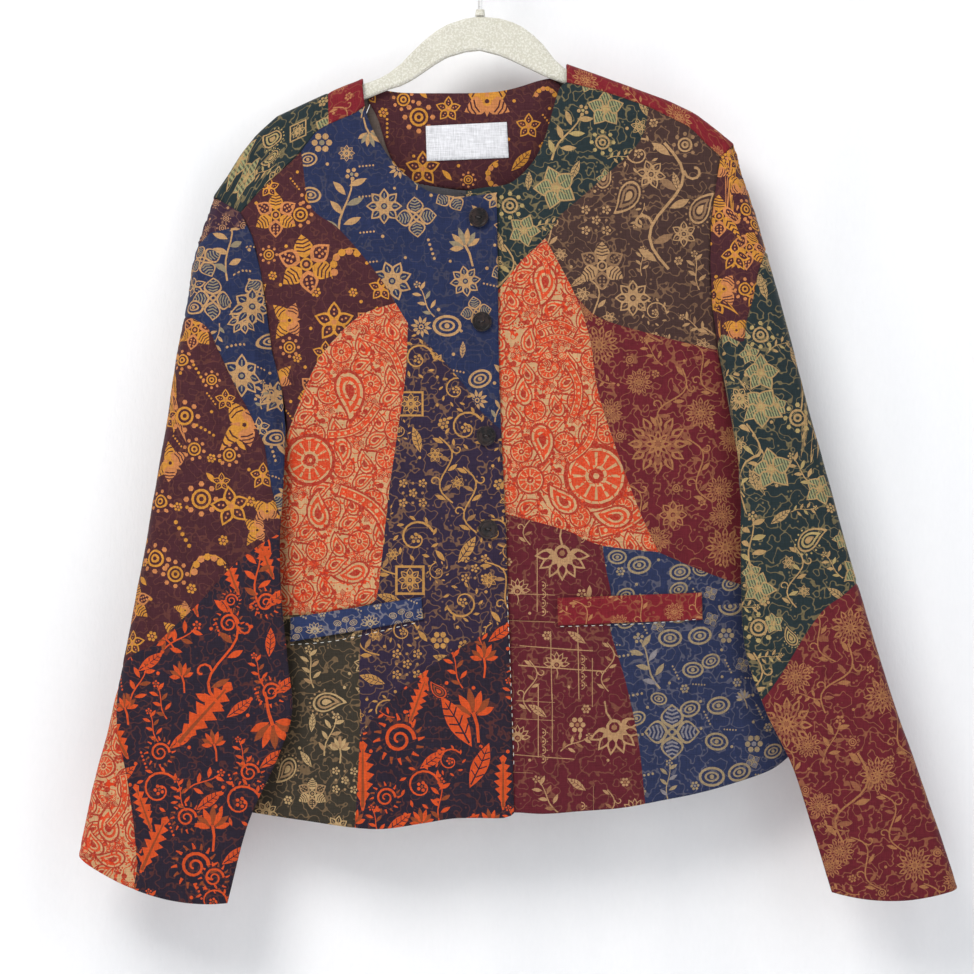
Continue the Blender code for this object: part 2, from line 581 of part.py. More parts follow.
def make_material(name, colour, roughness=0.85, metallic=0.0):
    material = bpy.data.materials.new(name)
    material.use_nodes = True
    shader = material.node_tree.nodes["Principled BSDF"]
    shader.inputs["Base Color"].default_value = (*colour, 1.0)
    shader.inputs["Roughness"].default_value = roughness
    shader.inputs["Metallic"].default_value = metallic
    return material


def make_object(name, points, faces, material, smooth_angle=40.0):
    mesh = bpy.data.meshes.new(name)
    mesh.from_pydata([tuple(value * MM for value in point) for point in points], [], faces)
    shape = bmesh.new()
    shape.from_mesh(mesh)
    bmesh.ops.recalc_face_normals(shape, faces=shape.faces)
    shape.to_mesh(mesh)
    shape.free()
    mesh.shade_smooth()
    mesh.set_sharp_from_angle(angle=math.radians(smooth_angle))
    mesh.materials.append(material)
    made = bpy.data.objects.new(name, mesh)
    bpy.context.scene.collection.objects.link(made)
    return made


def make_cloth(name, flat, triangles, surface, colour, wall=CLOTH, lift=0.0):
    """A wall of cloth: its outer side on a surface, moved out by lift, and its rim closed."""
    outer, inner = [], []
    for point in flat:
        place, way = surface(*point)
        outer.append(place + way * lift)
        inner.append(place + way * (lift - wall))
    count = len(flat)
    faces = [tuple(face) for face in triangles]
    faces += [tuple(corner + count for corner in reversed(face)) for face in triangles]
    for start, end in rim_edges(triangles):
        # both patches along a seam split its wall from the same end
        if (outer[start] - outer[end]).dot(Vector((1.0, 0.3, 0.7))) > 0.0:
            faces.append((end, start, start + count))
            faces.append((end, start + count, end + count))
        else:
            faces.append((end, start, end + count))
            faces.append((start, start + count, end + count))
    return make_object(name, outer + inner, faces, make_material(name, colour))


def make_patches(outline, seams, patches, surface, step, to_flat=lambda x, z: (x, z), guides=()):
    seeds = {name: to_flat(*seed) for name, (seed, _) in patches.items()}
    lines = [[to_flat(*point) for point in seam] for seam in seams]
    for name, (flat, triangles) in cut_panel(outline, lines, seeds, step, guides).items():
        make_cloth(name, flat, triangles, surface, patches[name][1])


def armhole_line(armhole, front, first, last):
    side = 0 if front else 1
    return [armhole[row][side] for row in range(first, last + 1)]


def make_fronts():
    end = len(LEFT_ARMHOLE) - 1
    left = (list(LEFT_SHOULDER) + list(LEFT_NECK[1:]) + list(LEFT_EDGE[1:]) + list(LEFT_HEM[1:])
            + armhole_line(LEFT_ARMHOLE, True, SHOULDER_CORNER + 1, end)[::-1])
    make_patches(left, LEFT_FRONT_SEAMS.values(), LEFT_FRONT_PATCHES, front_at, BODY_STEP)
    right = (list(RIGHT_SHOULDER) + armhole_line(RIGHT_ARMHOLE, True, SHOULDER_CORNER + 1, end)
             + list(RIGHT_HEM[::-1]) + list(UNDER_EDGE[::-1][1:]) + list(RIGHT_NECK[1:-1]))
    make_patches(right, RIGHT_FRONT_SEAMS.values(), RIGHT_FRONT_PATCHES, right_front_at, BODY_STEP)


def make_back():
    end = len(LEFT_ARMHOLE) - 1
    outline = (list(BACK_NECK[1:-1]) + list(RIGHT_BACK_YOKE[1:])
               + armhole_line(RIGHT_ARMHOLE, False, BACK_CORNER + 1, end) + list(BACK_HEM[::-1])
               + armhole_line(LEFT_ARMHOLE, False, BACK_CORNER + 1, end)[::-1]
               + list(LEFT_BACK_YOKE[::-1][:-1]))
    patches = {"back_body": ((0.0, -400.0), BROWN)}
    make_patches(outline, [], patches, back_at, BODY_STEP * 1.2)


def unrolled(line, front):
    """A line of the front or the back as x and distance from the top line, + behind."""
    points = divided(line, LONGEST_EDGE)
    return [(x, -down_from_top(x, z, front)) for x, z in points]


def yoke_at(x, up):
    return body_at(x, -up)


def make_yokes():
    """The shoulder pieces, which roll from the back over the hanger to the seam in front."""
    roll = [QUARTER * step / 2 for step in (-2, -1, 0, 1, 2)]
    neck = [(LEFT_RIDGE[-1][0], up) for up in roll]
    left = (unrolled(LEFT_SHOULDER[::-1], True)
            + unrolled(armhole_line(LEFT_ARMHOLE, True, 1, SHOULDER_CORNER)[::-1], True)[1:]
            + [(LEFT_RIDGE[0][0], 0.0)]
            + unrolled(armhole_line(LEFT_ARMHOLE, False, 1, BACK_CORNER), False)
            + unrolled(LEFT_BACK_YOKE[::-1], False)[1:] + neck[::-1])
    seam_front, seam_top, seam_back = YOKE_SEAM
    between = ([(seam_front[0], -down_from_top(*seam_front, True))] + [(seam_top, up) for up in roll]
               + [(seam_back[0], -down_from_top(*seam_back, False))])
    patches = {"yoke_left_teal": ((-170.0, 0.0), TEAL), "yoke_left_crimson": ((-110.0, 0.0), CRIMSON)}
    guides = [[(x, up) for x in range(-210, -98, YOKE_GUIDE_STEP)] for up in roll]
    make_patches(left, [between], patches, yoke_at, BODY_STEP, guides=guides)
    neck = [(RIGHT_RIDGE[0][0], up) for up in roll]
    right = (unrolled(RIGHT_SHOULDER, True)
             + unrolled(armhole_line(RIGHT_ARMHOLE, True, 1, SHOULDER_CORNER)[::-1], True)[1:]
             + [(RIGHT_RIDGE[-1][0], 0.0)]
             + unrolled(armhole_line(RIGHT_ARMHOLE, False, 1, BACK_CORNER), False)
             + unrolled(RIGHT_BACK_YOKE[::-1], False)[1:] + neck[::-1])
    guides = [[(x, up) for x in range(78, 206, YOKE_GUIDE_STEP)] for up in roll]
    make_patches(right, [], {"yoke_right_crimson": ((130.0, 0.0), CRIMSON)}, yoke_at, BODY_STEP,
                 guides=guides)


def make_sleeve(table, armhole, fold, seams, patches, back_name, back_colour):
    """A sleeve of patches in front and one piece behind, joined along its outer and inner edges."""
    sleeve = (table, {front: armhole_loop(armhole, fold, front) for front in (True, False)})

    def outline(front):
        rows = len(sleeve[1][front]) - 1
        around = [(SLEEVE_WIDTH * row / rows, 0.0) for row in range(rows + 1)]
        return around + [(x, SLEEVE_LENGTH) for x, _ in around[::-1]]

    def surface(front):
        return lambda x, y: sleeve_at(sleeve, min(1.0, max(0.0, x / SLEEVE_WIDTH)),
                                      min(1.0, max(0.0, y / SLEEVE_LENGTH)), front)

    def to_flat(x, z):
        across, along = sleeve_place(sleeve, x, z)
        return across * SLEEVE_WIDTH, along * SLEEVE_LENGTH

    make_patches(outline(True), seams, patches, surface(True), SLEEVE_STEP, to_flat)
    back = {back_name: ((SLEEVE_WIDTH / 2, SLEEVE_LENGTH / 2), back_colour)}
    make_patches(outline(False), [], back, surface(False), SLEEVE_STEP)


def make_welts():
    for name, corners, surface, colour in (
            ("welt_left", LEFT_WELT, front_at, NAVY),
            ("welt_right", RIGHT_WELT, right_front_at, CRIMSON)):
        for flat, triangles in cut_panel(corners, [], {name: corners_middle(corners)}, 20.0).values():
            make_cloth(name, flat, triangles, surface, colour, lift=CLOTH + WELT_LIFT)


def corners_middle(corners):
    return [sum(corner[axis] for corner in corners) / len(corners) for axis in (0, 1)]


def make_neck_lining():
    """The facing and lining inside the back neck, and the bare label sewn to the facing."""
    def within(lift):
        def surface(x, z):
            point, way = back_at(x, z)
            return point - way * lift, -way
        return surface

    facing = (list(BACK_NECK[1:-1]) + [FACING_TOP[0]] + list(FACING[::-1]) + [FACING_TOP[1]])
    facing_lift = CLOTH + SEAM_GAP + INNER_CLOTH
    label_lift = facing_lift + SEAM_GAP + LABEL_CLOTH
    for name, outline, middle, lift, colour, wall in (
            ("neck_facing", facing, FACING_MIDDLE, facing_lift, PLUM, INNER_CLOTH),
            ("back_lining", LINING, LINING_MIDDLE, facing_lift, LINING_GREY, INNER_CLOTH),
            ("neck_label", LABEL, FACING_MIDDLE, label_lift, LABEL_WHITE, LABEL_CLOTH)):
        for flat, triangles in cut_panel(outline, [], {name: middle}, BODY_STEP).values():
            make_cloth(name, flat, triangles, within(lift), colour, wall)


def make_turned(name, profile, centre, way, sides, material):
    """A turned piece: its profile is radius and height, from the middle of its base to its top."""
    way = Vector(way)
    side = Vector((1.0, 0.0, 0.0))
    other = way.cross(side)
    points = [Vector(centre) + way * profile[0][1]]
    for radius, height in profile[1:-1]:
        for number in range(sides):
            angle = 2 * math.pi * number / sides
            points.append(Vector(centre) + way * height
                          + (side * math.cos(angle) + other * math.sin(angle)) * radius)
    points.append(Vector(centre) + way * profile[-1][1])
    top = len(points) - 1
    faces = []
    for number in range(sides):
        after = (number + 1) % sides
        faces.append((0, 1 + after, 1 + number))
        for ring in range(len(profile) - 3):
            low = 1 + ring * sides
            faces.append((low + number, low + after, low + sides + after, low + sides + number))
        last = 1 + (len(profile) - 3) * sides
        faces.append((last + number, last + after, top))
    return make_object(name, points, faces, material)


def make_buttons():
    round_it = (-BUTTON_RADIUS, 0.0, BUTTON_RADIUS)
    for number, (x, z) in enumerate(BUTTONS, 1):
        proud = min(front_at(x + dx, z + dz)[0].y for dx in round_it for dz in round_it)
        make_turned(f"button_{number}", BUTTON_PROFILE, (x, proud - SEAM_GAP, z), (0.0, -1.0, 0.0),
                    BUTTON_SIDES, make_material(f"button_{number}", BUTTON_BROWN, 0.3))


def make_hanger():
    stations = list(HANGER)
    for end in ARM_ENDS:
        start = stations[0][0] if end < 0.0 else stations[-1][0]
        arm = []
        for number in range(1, ARM_STEPS + 1):
            x = start + (end - start) * number / ARM_STEPS
            top = ridge_height(x) - ARM_DROP
            shorter = ARM_TIP if number == ARM_STEPS else 0.0
            arm.append((x, top - shorter, top - ARM_HEIGHT + shorter))
        stations = arm[::-1] + stations if end < 0.0 else stations + arm
    points, faces = [], []
    for x, top, bottom in stations:
        upper = [(y, top + drop) for y, drop in HANGER_SECTION]
        lower = [(y, bottom - drop) for y, drop in HANGER_SECTION[::-1]]
        ring = (upper + lower + [(-y, z) for y, z in lower[::-1][1:]]
                + [(-y, z) for y, z in upper[::-1][:-1]])
        points += [(x, y, z) for y, z in ring]
    size = len(ring)
    for number in range(len(stations) - 1):
        for corner in range(size):
            after = (corner + 1) % size
            low, high = number * size, (number + 1) * size
            faces.append((low + corner, low + after, high + after, high + corner))
    faces.append(tuple(range(size))[::-1])
    faces.append(tuple(range(len(points) - size, len(points))))
    make_object("hanger_body", points, faces, make_material("hanger_body", HANGER_CREAM, 0.9))


def make_hook():
    """The collar on the hanger and the wire hook above it, its inside touching the origin."""
    base = max(top for _, top, _ in HANGER) + SEAM_GAP
    collar = ((0.0, 0.0), (COLLAR_RADIUS, 0.0), (COLLAR_RADIUS * 0.85, COLLAR_HEIGHT),
              (0.0, COLLAR_HEIGHT))
    make_turned("hook_collar", collar, (0.0, 0.0, base), (0.0, 0.0, 1.0), COLLAR_SIDES,
                make_material("hook_collar", HANGER_CREAM, 0.9))
    reach = HOOK_RADIUS + WIRE
    centre = WIRE - reach
    stem = base + COLLAR_HEIGHT + SEAM_GAP
    route = [(x, stem + height) for x, height in STEM] + [(THROAT[0], centre + THROAT[1])]
    for number in range(HOOK_STEPS + 1):
        angle = math.radians(HOOK_START + HOOK_TURN * number / HOOK_STEPS)
        route.append((reach * math.cos(angle), centre + reach * math.sin(angle)))
    route += [(x - reach, centre + height) for x, height in TIP]
    curve = bpy.data.curves.new("hook", "CURVE")
    curve.dimensions = "3D"
    curve.bevel_depth = WIRE * MM
    curve.bevel_resolution = 2
    curve.use_fill_caps = True
    line = curve.splines.new("POLY")
    line.points.add(len(route) - 1)
    for place, (x, z) in zip(line.points, route):
        place.co = (x * MM, 0.0, z * MM, 1.0)
    curve.materials.append(make_material("hook", WIRE_GREY, 0.25, 1.0))
    bpy.context.scene.collection.objects.link(bpy.data.objects.new("hook", curve))


for old in list(bpy.data.objects):
    bpy.data.objects.remove(old, do_unlink=True)
make_fronts()
make_back()
make_yokes()
make_sleeve(LEFT_SLEEVE, LEFT_ARMHOLE, LEFT_FOLD, LEFT_SLEEVE_SEAMS.values(),
            LEFT_SLEEVE_PATCHES, "sleeve_left_back", PLUM)
make_sleeve(RIGHT_SLEEVE, RIGHT_ARMHOLE, RIGHT_FOLD, RIGHT_SLEEVE_SEAMS.values(),
            RIGHT_SLEEVE_PATCHES, "sleeve_right_back", TEAL)
make_welts()
make_neck_lining()
make_buttons()
make_hanger()
make_hook()
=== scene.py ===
import math

import bmesh
import bpy
import mathutils
import numpy as np
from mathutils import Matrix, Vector
from mathutils.geometry import delaunay_2d_cdt


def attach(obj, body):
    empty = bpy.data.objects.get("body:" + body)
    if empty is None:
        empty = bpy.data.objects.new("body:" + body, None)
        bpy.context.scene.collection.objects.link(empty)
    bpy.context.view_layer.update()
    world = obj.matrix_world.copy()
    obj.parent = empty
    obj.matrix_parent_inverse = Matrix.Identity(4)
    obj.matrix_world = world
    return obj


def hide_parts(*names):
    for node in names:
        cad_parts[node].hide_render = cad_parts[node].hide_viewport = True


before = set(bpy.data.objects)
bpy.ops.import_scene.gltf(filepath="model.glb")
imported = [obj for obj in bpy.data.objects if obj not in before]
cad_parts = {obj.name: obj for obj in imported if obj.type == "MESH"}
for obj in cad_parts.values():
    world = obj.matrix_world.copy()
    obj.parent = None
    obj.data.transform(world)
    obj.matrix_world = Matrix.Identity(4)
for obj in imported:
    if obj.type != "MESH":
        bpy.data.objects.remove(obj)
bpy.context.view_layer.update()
mm = 0.001

# The garment's form, as the solids have it
bodyForm = {
    "ridge": (
        (-220.6, -217.3), (-209.9, -201.7), (-197.6, -182.0), (-184.5, -165.6), (-168.1, -150.9),
        (-146.8, -141.2), (-124.6, -131.0), (-96.8, -119.4), (71.3, -107.4), (104.1, -118.9),
        (133.7, -129.6), (155.8, -137.8), (178.8, -149.2), (196.0, -162.4), (209.9, -173.8),
    ),
    "roll": 8.0,  # radius where the cloth rolls over the hanger
    "edge": 2.15,  # half the thickness at a side seam
    "fullDepthDrop": 95.0,
    "sides": (
        (-150.0, -240.0, 236.0), (-330.0, -222.0, 240.0), (-434.0, -182.0, 231.2),
        (-700.0, -198.4, 257.0), (-760.0, -199.0, 258.0),
    ),
    "depths": (
        (-150.0, 11.0, 7.0), (-260.0, 19.0, 10.0), (-437.0, 23.0, 12.0), (-760.0, 26.0, 14.0),
    ),
    "folds": (
        ((186.0, -200.0), (174.0, -285.0), 15.0, 3.0),
        ((-60.0, -560.0), (-48.0, -740.0), 26.0, 3.5),
        ((-105.0, -600.0), (-100.0, -740.0), 24.0, -3.0),
        ((-22.0, -610.0), (-18.0, -735.0), 16.0, -2.0),
        ((120.0, -560.0), (150.0, -700.0), 30.0, 3.0), ((60.0, -600.0), (75.0, -725.0), 26.0, -2.5),
    ),
    "overlapBehind": 3.0,  # the right front passes behind the left one
    "overlapEnd": 62.0,
    "overlapFade": 26.0,
}
armholes = {
    "left": (
        ((-220.6, -217.3), (-220.6, -217.3)), ((-214.0, -221.5), (-216.5, -227.0)),
        ((-197.6, -231.2), (-210.0, -243.0)), ((-187.8, -250.9), (-204.0, -264.0)),
        ((-180.4, -281.3), (-199.0, -290.0)), ((-175.5, -314.0), (-196.0, -317.0)),
        ((-171.4, -345.2), (-194.0, -344.0)), ((-163.2, -378.0), (-193.0, -371.0)),
        ((-159.9, -406.7), (-192.0, -397.0)), ((-166.5, -428.9), (-189.0, -420.0)),
        ((-182.0, -437.1), (-182.0, -437.1))),
    "right": (
        ((209.9, -173.8), (209.9, -173.8)), ((205.0, -179.5), (207.0, -186.0)),
        ((198.4, -185.3), (203.0, -203.0)), ((194.3, -209.9), (200.0, -225.0)),
        ((190.2, -242.7), (198.0, -250.0)), ((189.4, -275.5), (198.0, -280.0)),
        ((191.1, -308.3), (200.0, -310.0)), ((196.0, -345.2), (205.0, -340.0)),
        ((203.4, -382.1), (212.0, -370.0)), ((214.0, -414.9), (221.0, -400.0)),
        ((231.2, -431.3), (231.2, -431.3))),
}
sleeveForm = {
    "nose": 0.16,
    "noseReach": 0.08,
    "hold": (1.0, 0.2, 0.0, 0.0),
    "lift": 2.2,
    "wall": 2.0,
    "gap": 0.3,
    "width": 150.0,
    "length": 640.0,
    "foldRow": {"left": 8, "right": 9},
    # outer edge x, z; inner edge x, z; y of both edges; half depth; sag; share of the armhole's shape
    "left": (
        ((-220.6, -217.3), (-159.9, -406.7), 0.0, -12.0, 9.0, 0.0, 1.0),
        ((-235.0, -262.0), (-160.0, -437.0), -2.0, -21.0, 10.0, 0.0, 0.8),
        ((-243.5, -312.0), (-161.5, -468.0), -3.0, -22.0, 11.0, 0.0, 0.35),
        ((-252.8, -367.0), (-163.5, -503.0), -5.0, -24.0, 11.0, 2.0, 0.08),
        ((-264.9, -437.0), (-162.0, -550.0), -8.0, -25.0, 10.5, 4.0, 0.0),
        ((-276.5, -507.0), (-157.0, -600.0), -11.0, -26.0, 10.0, 6.0, 0.0),
        ((-288.5, -572.0), (-153.5, -642.0), -14.0, -27.0, 10.0, 8.0, 0.0),
        ((-302.5, -640.0), (-166.5, -682.0), -17.0, -27.0, 9.5, 9.0, 0.0),
        ((-316.5, -703.0), (-189.5, -733.0), -20.0, -26.0, 9.0, 10.0, 0.0),
        ((-328.5, -760.0), (-206.5, -798.0), -22.0, -25.0, 8.5, 12.0, 0.0),
    ),
    "right": (
        ((209.9, -173.8), (214.0, -414.9), 0.0, -12.0, 9.0, 0.0, 1.0),
        ((222.5, -211.0), (214.0, -440.0), -2.0, -21.0, 10.0, 0.0, 0.8),
        ((236.0, -262.0), (213.5, -468.0), -3.0, -22.0, 11.0, 0.0, 0.35),
        ((252.5, -325.0), (213.0, -502.0), -5.0, -24.0, 11.0, 2.0, 0.08),
        ((270.0, -393.0), (213.5, -545.0), -8.0, -25.0, 10.5, 4.0, 0.0),
        ((289.0, -460.0), (217.0, -592.0), -11.0, -26.0, 10.0, 6.0, 0.0),
        ((310.0, -535.0), (233.0, -640.0), -14.0, -27.0, 10.0, 7.0, 0.0),
        ((335.5, -620.0), (255.0, -686.0), -17.0, -27.0, 9.5, 8.0, 0.0),
        ((362.5, -700.0), (271.0, -735.0), -20.0, -26.0, 9.0, 7.0, 0.0),
        ((391.0, -785.5), (287.5, -789.0), -22.0, -25.0, 8.5, 8.0, 0.0),
    ),
}
roll = bodyForm["roll"]
quarter = math.pi * roll / 2


def fromPhoto(px, py):
    return (px - 480.0) * 0.82, -(py + 71.0) * 0.82


def smooth(value):
    value = np.clip(value, 0.0, 1.0)
    return value * value * (3.0 - 2.0 * value)


def tableAt(rows, key, column):
    rows = sorted(rows)
    return np.interp(key, [row[0] for row in rows], [row[column] for row in rows])


def ridgeAt(x):
    return tableAt(bodyForm["ridge"], x, 1)


def lens(x, z):
    left, right = tableAt(bodyForm["sides"], z, 1), tableAt(bodyForm["sides"], z, 2)
    return 1.0 - np.minimum(1.0, np.abs((2.0 * x - left - right) / (right - left))) ** 3


def creases(x, z, folds):
    # soft troughs (+) and ridges (-) between two ends, each with its half width and depth
    total = np.zeros_like(x)
    for (x0, z0), (x1, z1), halfWidth, depth in folds:
        along = ((x - x0) * (x1 - x0) + (z - z0) * (z1 - z0)) / ((x1 - x0) ** 2 + (z1 - z0) ** 2)
        near = np.clip(along, 0.0, 1.0)
        away = np.hypot(x - x0 - (x1 - x0) * near, z - z0 - (z1 - z0) * near)
        total += depth * smooth(1.0 - away / (1.6 * halfWidth))
    return total


def bodyDepth(x, z, front):
    full = tableAt(bodyForm["depths"], z, 1 if front else 2) * lens(x, z) + bodyForm["edge"]
    if front:
        full = full - creases(x, z, bodyForm["folds"]) * lens(x, z)
    drop = ridgeAt(x) - roll - z
    return roll + (full - roll) * smooth(drop / bodyForm["fullDepthDrop"])


def bodyPoint(x, down):
    # outer point and outward way at a distance down from the top line, + in front
    way = np.where(down > 0.0, -1.0, 1.0)
    angle = np.minimum(np.abs(down) / roll, math.pi / 2)
    top = ridgeAt(x) - roll
    z = top - np.maximum(np.abs(down) - quarter, 0.0)
    deep = np.where(down > 0.0, bodyDepth(x, z, True), bodyDepth(x, z, False))
    rolled = np.abs(down) <= quarter
    y = way * np.where(rolled, roll * np.sin(angle), deep)
    z = np.where(rolled, top + roll * np.cos(angle), z)
    zero = np.zeros_like(x)
    return (np.stack([x, y, z], 1),
            np.stack([zero, way * np.sin(angle), np.where(rolled, np.cos(angle), 0.0)], 1))


def downTo(x, z, front):
    drop = ridgeAt(x) - z
    rolled = roll * np.arccos(np.clip(1.0 - np.maximum(drop, 0.0) / roll, -1.0, 1.0))
    down = np.where(drop >= roll, quarter + drop - roll, rolled)
    return down if front else -down


def onFront(flat):
    x, z = flat[:, 0], flat[:, 1]
    return bodyPoint(x, np.maximum(downTo(x, z, True), 1e-6))


def onBack(flat):
    x, z = flat[:, 0], flat[:, 1]
    return bodyPoint(x, downTo(x, z, False))


def onUnderFront(flat):
    points, ways = onFront(flat)
    behind = smooth((bodyForm["overlapEnd"] - flat[:, 0]) / bodyForm["overlapFade"])
    return points - ways * (bodyForm["overlapBehind"] * behind)[:, None], ways


def onYoke(flat):
    return bodyPoint(flat[:, 0], -flat[:, 1])


def armholeLoop(armhole, fold, front):
    # points and ways along half an armhole, from the shoulder's tip to the sleeve's inner fold
    def at(place, way):
        points, ways = way(np.array([place]))
        return points[0], ways[0]

    tip = armhole[0][0]
    point, way = bodyPoint(np.array([tip[0]]), np.array([0.0]))
    loop = [(point[0], way[0])]
    if front:
        loop += [at(row[0], onFront) for row in armhole[1:fold]]
        point, way = at(armhole[fold][0], onFront)
        out = 2 * sleeveForm["wall"] + sleeveForm["lift"] + 3 * sleeveForm["gap"]
        loop.append((point + way * out, way))
    else:
        loop += [at(row[1], onBack) for row in armhole[1:]]
        for row in armhole[fold:][::-1]:
            point, way = at(row[0], onFront)
            loop.append((point + way * sleeveForm["lift"], -way))
    return np.array([point for point, _ in loop]), np.array([way for _, way in loop])


def flatRows(rows):
    return np.array([(*row[0], *row[1], *row[2:]) for row in rows])


sleeves = {side: (flatRows(sleeveForm[side]),
                  {front: armholeLoop(armholes[side], sleeveForm["foldRow"][side], front)
                   for front in (True, False)})
           for side in ("left", "right")}


def sleeveSection(rows, along):
    last = len(rows) - 1
    place = along * last
    row = np.clip(place.astype(int), 0, last - 1)
    share = (place - row)[:, None]
    before, start = rows[np.maximum(row - 1, 0)], rows[row]
    end, after = rows[row + 1], rows[np.minimum(row + 2, last)]
    slopeIn = np.where((row > 0)[:, None], (end - before) / 2, end - start)
    slopeOut = np.where((row < last - 1)[:, None], (after - start) / 2, end - start)
    square, cube = share ** 2, share ** 3
    return (start * (2 * cube - 3 * square + 1) + slopeIn * (cube - 2 * square + share)
            + end * (3 * square - 2 * cube) + slopeOut * (cube - square))


def alongLoop(values, across):
    place = across * (len(values) - 1)
    row = np.clip(place.astype(int), 0, len(values) - 2)
    share = (place - row)[:, None]
    return values[row] * (1.0 - share) + values[row + 1] * share


def sleevePoint(side, across, along, front):
    rows, loops = sleeves[side]
    outX, outZ, inX, inZ, outY, inY, depth, sag, shape = sleeveSection(rows, along).T
    nose, reach = sleeveForm["nose"], sleeveForm["noseReach"]
    angle = math.pi / 2 * np.minimum(across / nose, 1.0)
    wide = np.where(across < nose, reach * (1.0 - np.cos(angle)),
                    reach + (across - nose) / (1.0 - nose) * (1.0 - reach))
    deep = np.where(across < nose, np.sin(angle), 1.0)
    seam = alongLoop(loops[front][0], across)
    chordX = rows[0][0] + (rows[0][2] - rows[0][0]) * wide
    chordZ = rows[0][1] + (rows[0][3] - rows[0][1]) * wide
    x = outX + (inX - outX) * wide + shape * (seam[:, 0] - chordX)
    z = outZ + (inZ - outZ) * wide + shape * (seam[:, 2] - chordZ) - 4.0 * sag * wide * (1.0 - wide)
    half = (depth * (1.0 - wide ** 3) + bodyForm["edge"]) * deep
    y = outY + (inY - outY) * wide + (-half if front else half)
    hold = np.interp(along * (len(rows) - 1), range(len(sleeveForm["hold"])), sleeveForm["hold"])
    return np.stack([x, y + (seam[:, 1] - y) * hold, z], 1)


def unit(values):
    return values / np.maximum(np.linalg.norm(values, axis=1, keepdims=True), 1e-9)


def sleeveHalf(side, across, along, front):
    step = 0.01
    point = sleevePoint(side, across, along, front)
    roundWay = (sleevePoint(side, np.minimum(1.0, across + step), along, front)
                - sleevePoint(side, np.maximum(0.0, across - step), along, front))
    roundWay = np.where((across < step)[:, None], (0.0, -1.0 if front else 1.0, 0.0), roundWay)
    longWay = (sleevePoint(side, across, np.minimum(1.0, along + step), front)
               - sleevePoint(side, across, np.maximum(0.0, along - step), front))
    out = unit(np.cross(roundWay, longWay))
    half = np.full_like(along, 0.5)
    centre = (sleevePoint(side, half, along, True) + sleevePoint(side, half, along, False)) / 2
    out = np.where(((out * (point - centre)).sum(1) < 0.0)[:, None], -out, out)
    seamWay = alongLoop(sleeves[side][1][front][1], across)
    hold = (1.0 - smooth(along * (len(sleeves[side][0]) - 1) / 1.2))[:, None]
    return point, unit(out * (1.0 - hold) + seamWay * hold)


def onSleeve(side):
    def place(flat):
        across = np.clip(np.abs(flat[:, 0]) / sleeveForm["width"], 0.0, 1.0)
        along = np.clip(flat[:, 1] / sleeveForm["length"], 0.0, 1.0)
        points, ways = sleeveHalf(side, across, along, True)
        behind = flat[:, 0] < 0.0
        backPoints, backWays = sleeveHalf(side, across, along, False)
        return (np.where(behind[:, None], backPoints, points), np.where(behind[:, None], backWays, ways))
    return place


def sleeveFlat(side, x, z):
    # flat place of the point of a sleeve's front that is seen at x, z
    across, along = (grid.ravel() for grid in np.meshgrid(np.linspace(0, 1, 61), np.linspace(0, 1, 161)))
    size = 1.0 / 60
    for _ in range(4):
        seen = sleevePoint(side, across, along, True)
        best = np.argmin(np.hypot(seen[:, 0] - x, seen[:, 2] - z))
        a, b = across[best], along[best]
        near = np.linspace(-size, size, 9)
        across, along = (grid.ravel() for grid in np.meshgrid(np.clip(a + near, 0, 1),
                                                              np.clip(b + near, 0, 1)))
        size /= 4
    return a * sleeveForm["width"], b * sleeveForm["length"]


def linear(code):
    # a linear colour from a written one such as "24325f"
    values = [int(code[place:place + 2], 16) / 255 for place in (0, 2, 4)]
    return np.array([v / 12.92 if v <= 0.04045 else ((v + 0.055) / 1.055) ** 2.4 for v in values])


def lattice(seed, x, y):
    # smooth noise from -1 to 1 on a seeded lattice
    values = np.random.default_rng(seed).uniform(-1.0, 1.0, (97, 97))
    col, row = np.floor(x).astype(int), np.floor(y).astype(int)
    a, b = smooth(x - col), smooth(y - row)
    col, row = col % 96, row % 96
    return ((values[row, col] * (1 - a) + values[row, col + 1] * a) * (1 - b)
            + (values[row + 1, col] * (1 - a) + values[row + 1, col + 1] * a) * b)


def drape(flat, seed, amount):
    # the soft unevenness of hung cloth, longer down the cloth than across it
    x, z = flat[:, 0], flat[:, 1]
    return amount * (1.0 * lattice(seed, x / 44.0 + 9, z / 105.0 + 40)
                     + 0.5 * lattice(seed + 1, (x + 0.3 * z) / 21.0 + 60, z / 42.0 + 60)
                     + 0.18 * lattice(seed + 2, x / 9.0 + 200, z / 12.0 + 200))


def divided(line, longest):
    points = [Vector(line[0])]
    for start, end in zip(line, line[1:]):
        start, end = Vector(start), Vector(end)
        count = max(1, math.ceil((end - start).length / longest))
        points += [start.lerp(end, number / count) for number in range(1, count + 1)]
    return points


def smoothLine(line, step):
    # a curve through a line's points, sharp only where the line turns by more than 50 degrees
    points = [np.array(point, float) for point in line]
    out = []
    for row in range(len(points) - 1):
        before, start = points[max(row - 1, 0)], points[row]
        end, after = points[row + 1], points[min(row + 2, len(points) - 1)]

        def turns(a, b, c):
            one, two = unit((b - a)[None])[0], unit((c - b)[None])[0]
            return one @ two < 0.64

        slopeIn = (end - before) / 2 if row and not turns(before, start, end) else end - start
        smoothOn = row < len(points) - 2 and not turns(start, end, after)
        slopeOut = (after - start) / 2 if smoothOn else end - start
        count = max(1, round(float(np.linalg.norm(end - start)) / step))
        for number in range(count):
            share = number / count
            square, cube = share ** 2, share ** 3
            out.append(start * (2 * cube - 3 * square + 1) + slopeIn * (cube - 2 * square + share)
                       + end * (3 * square - 2 * cube) + slopeOut * (cube - square))
    out.append(points[-1])
    return [Vector(point) for point in out]


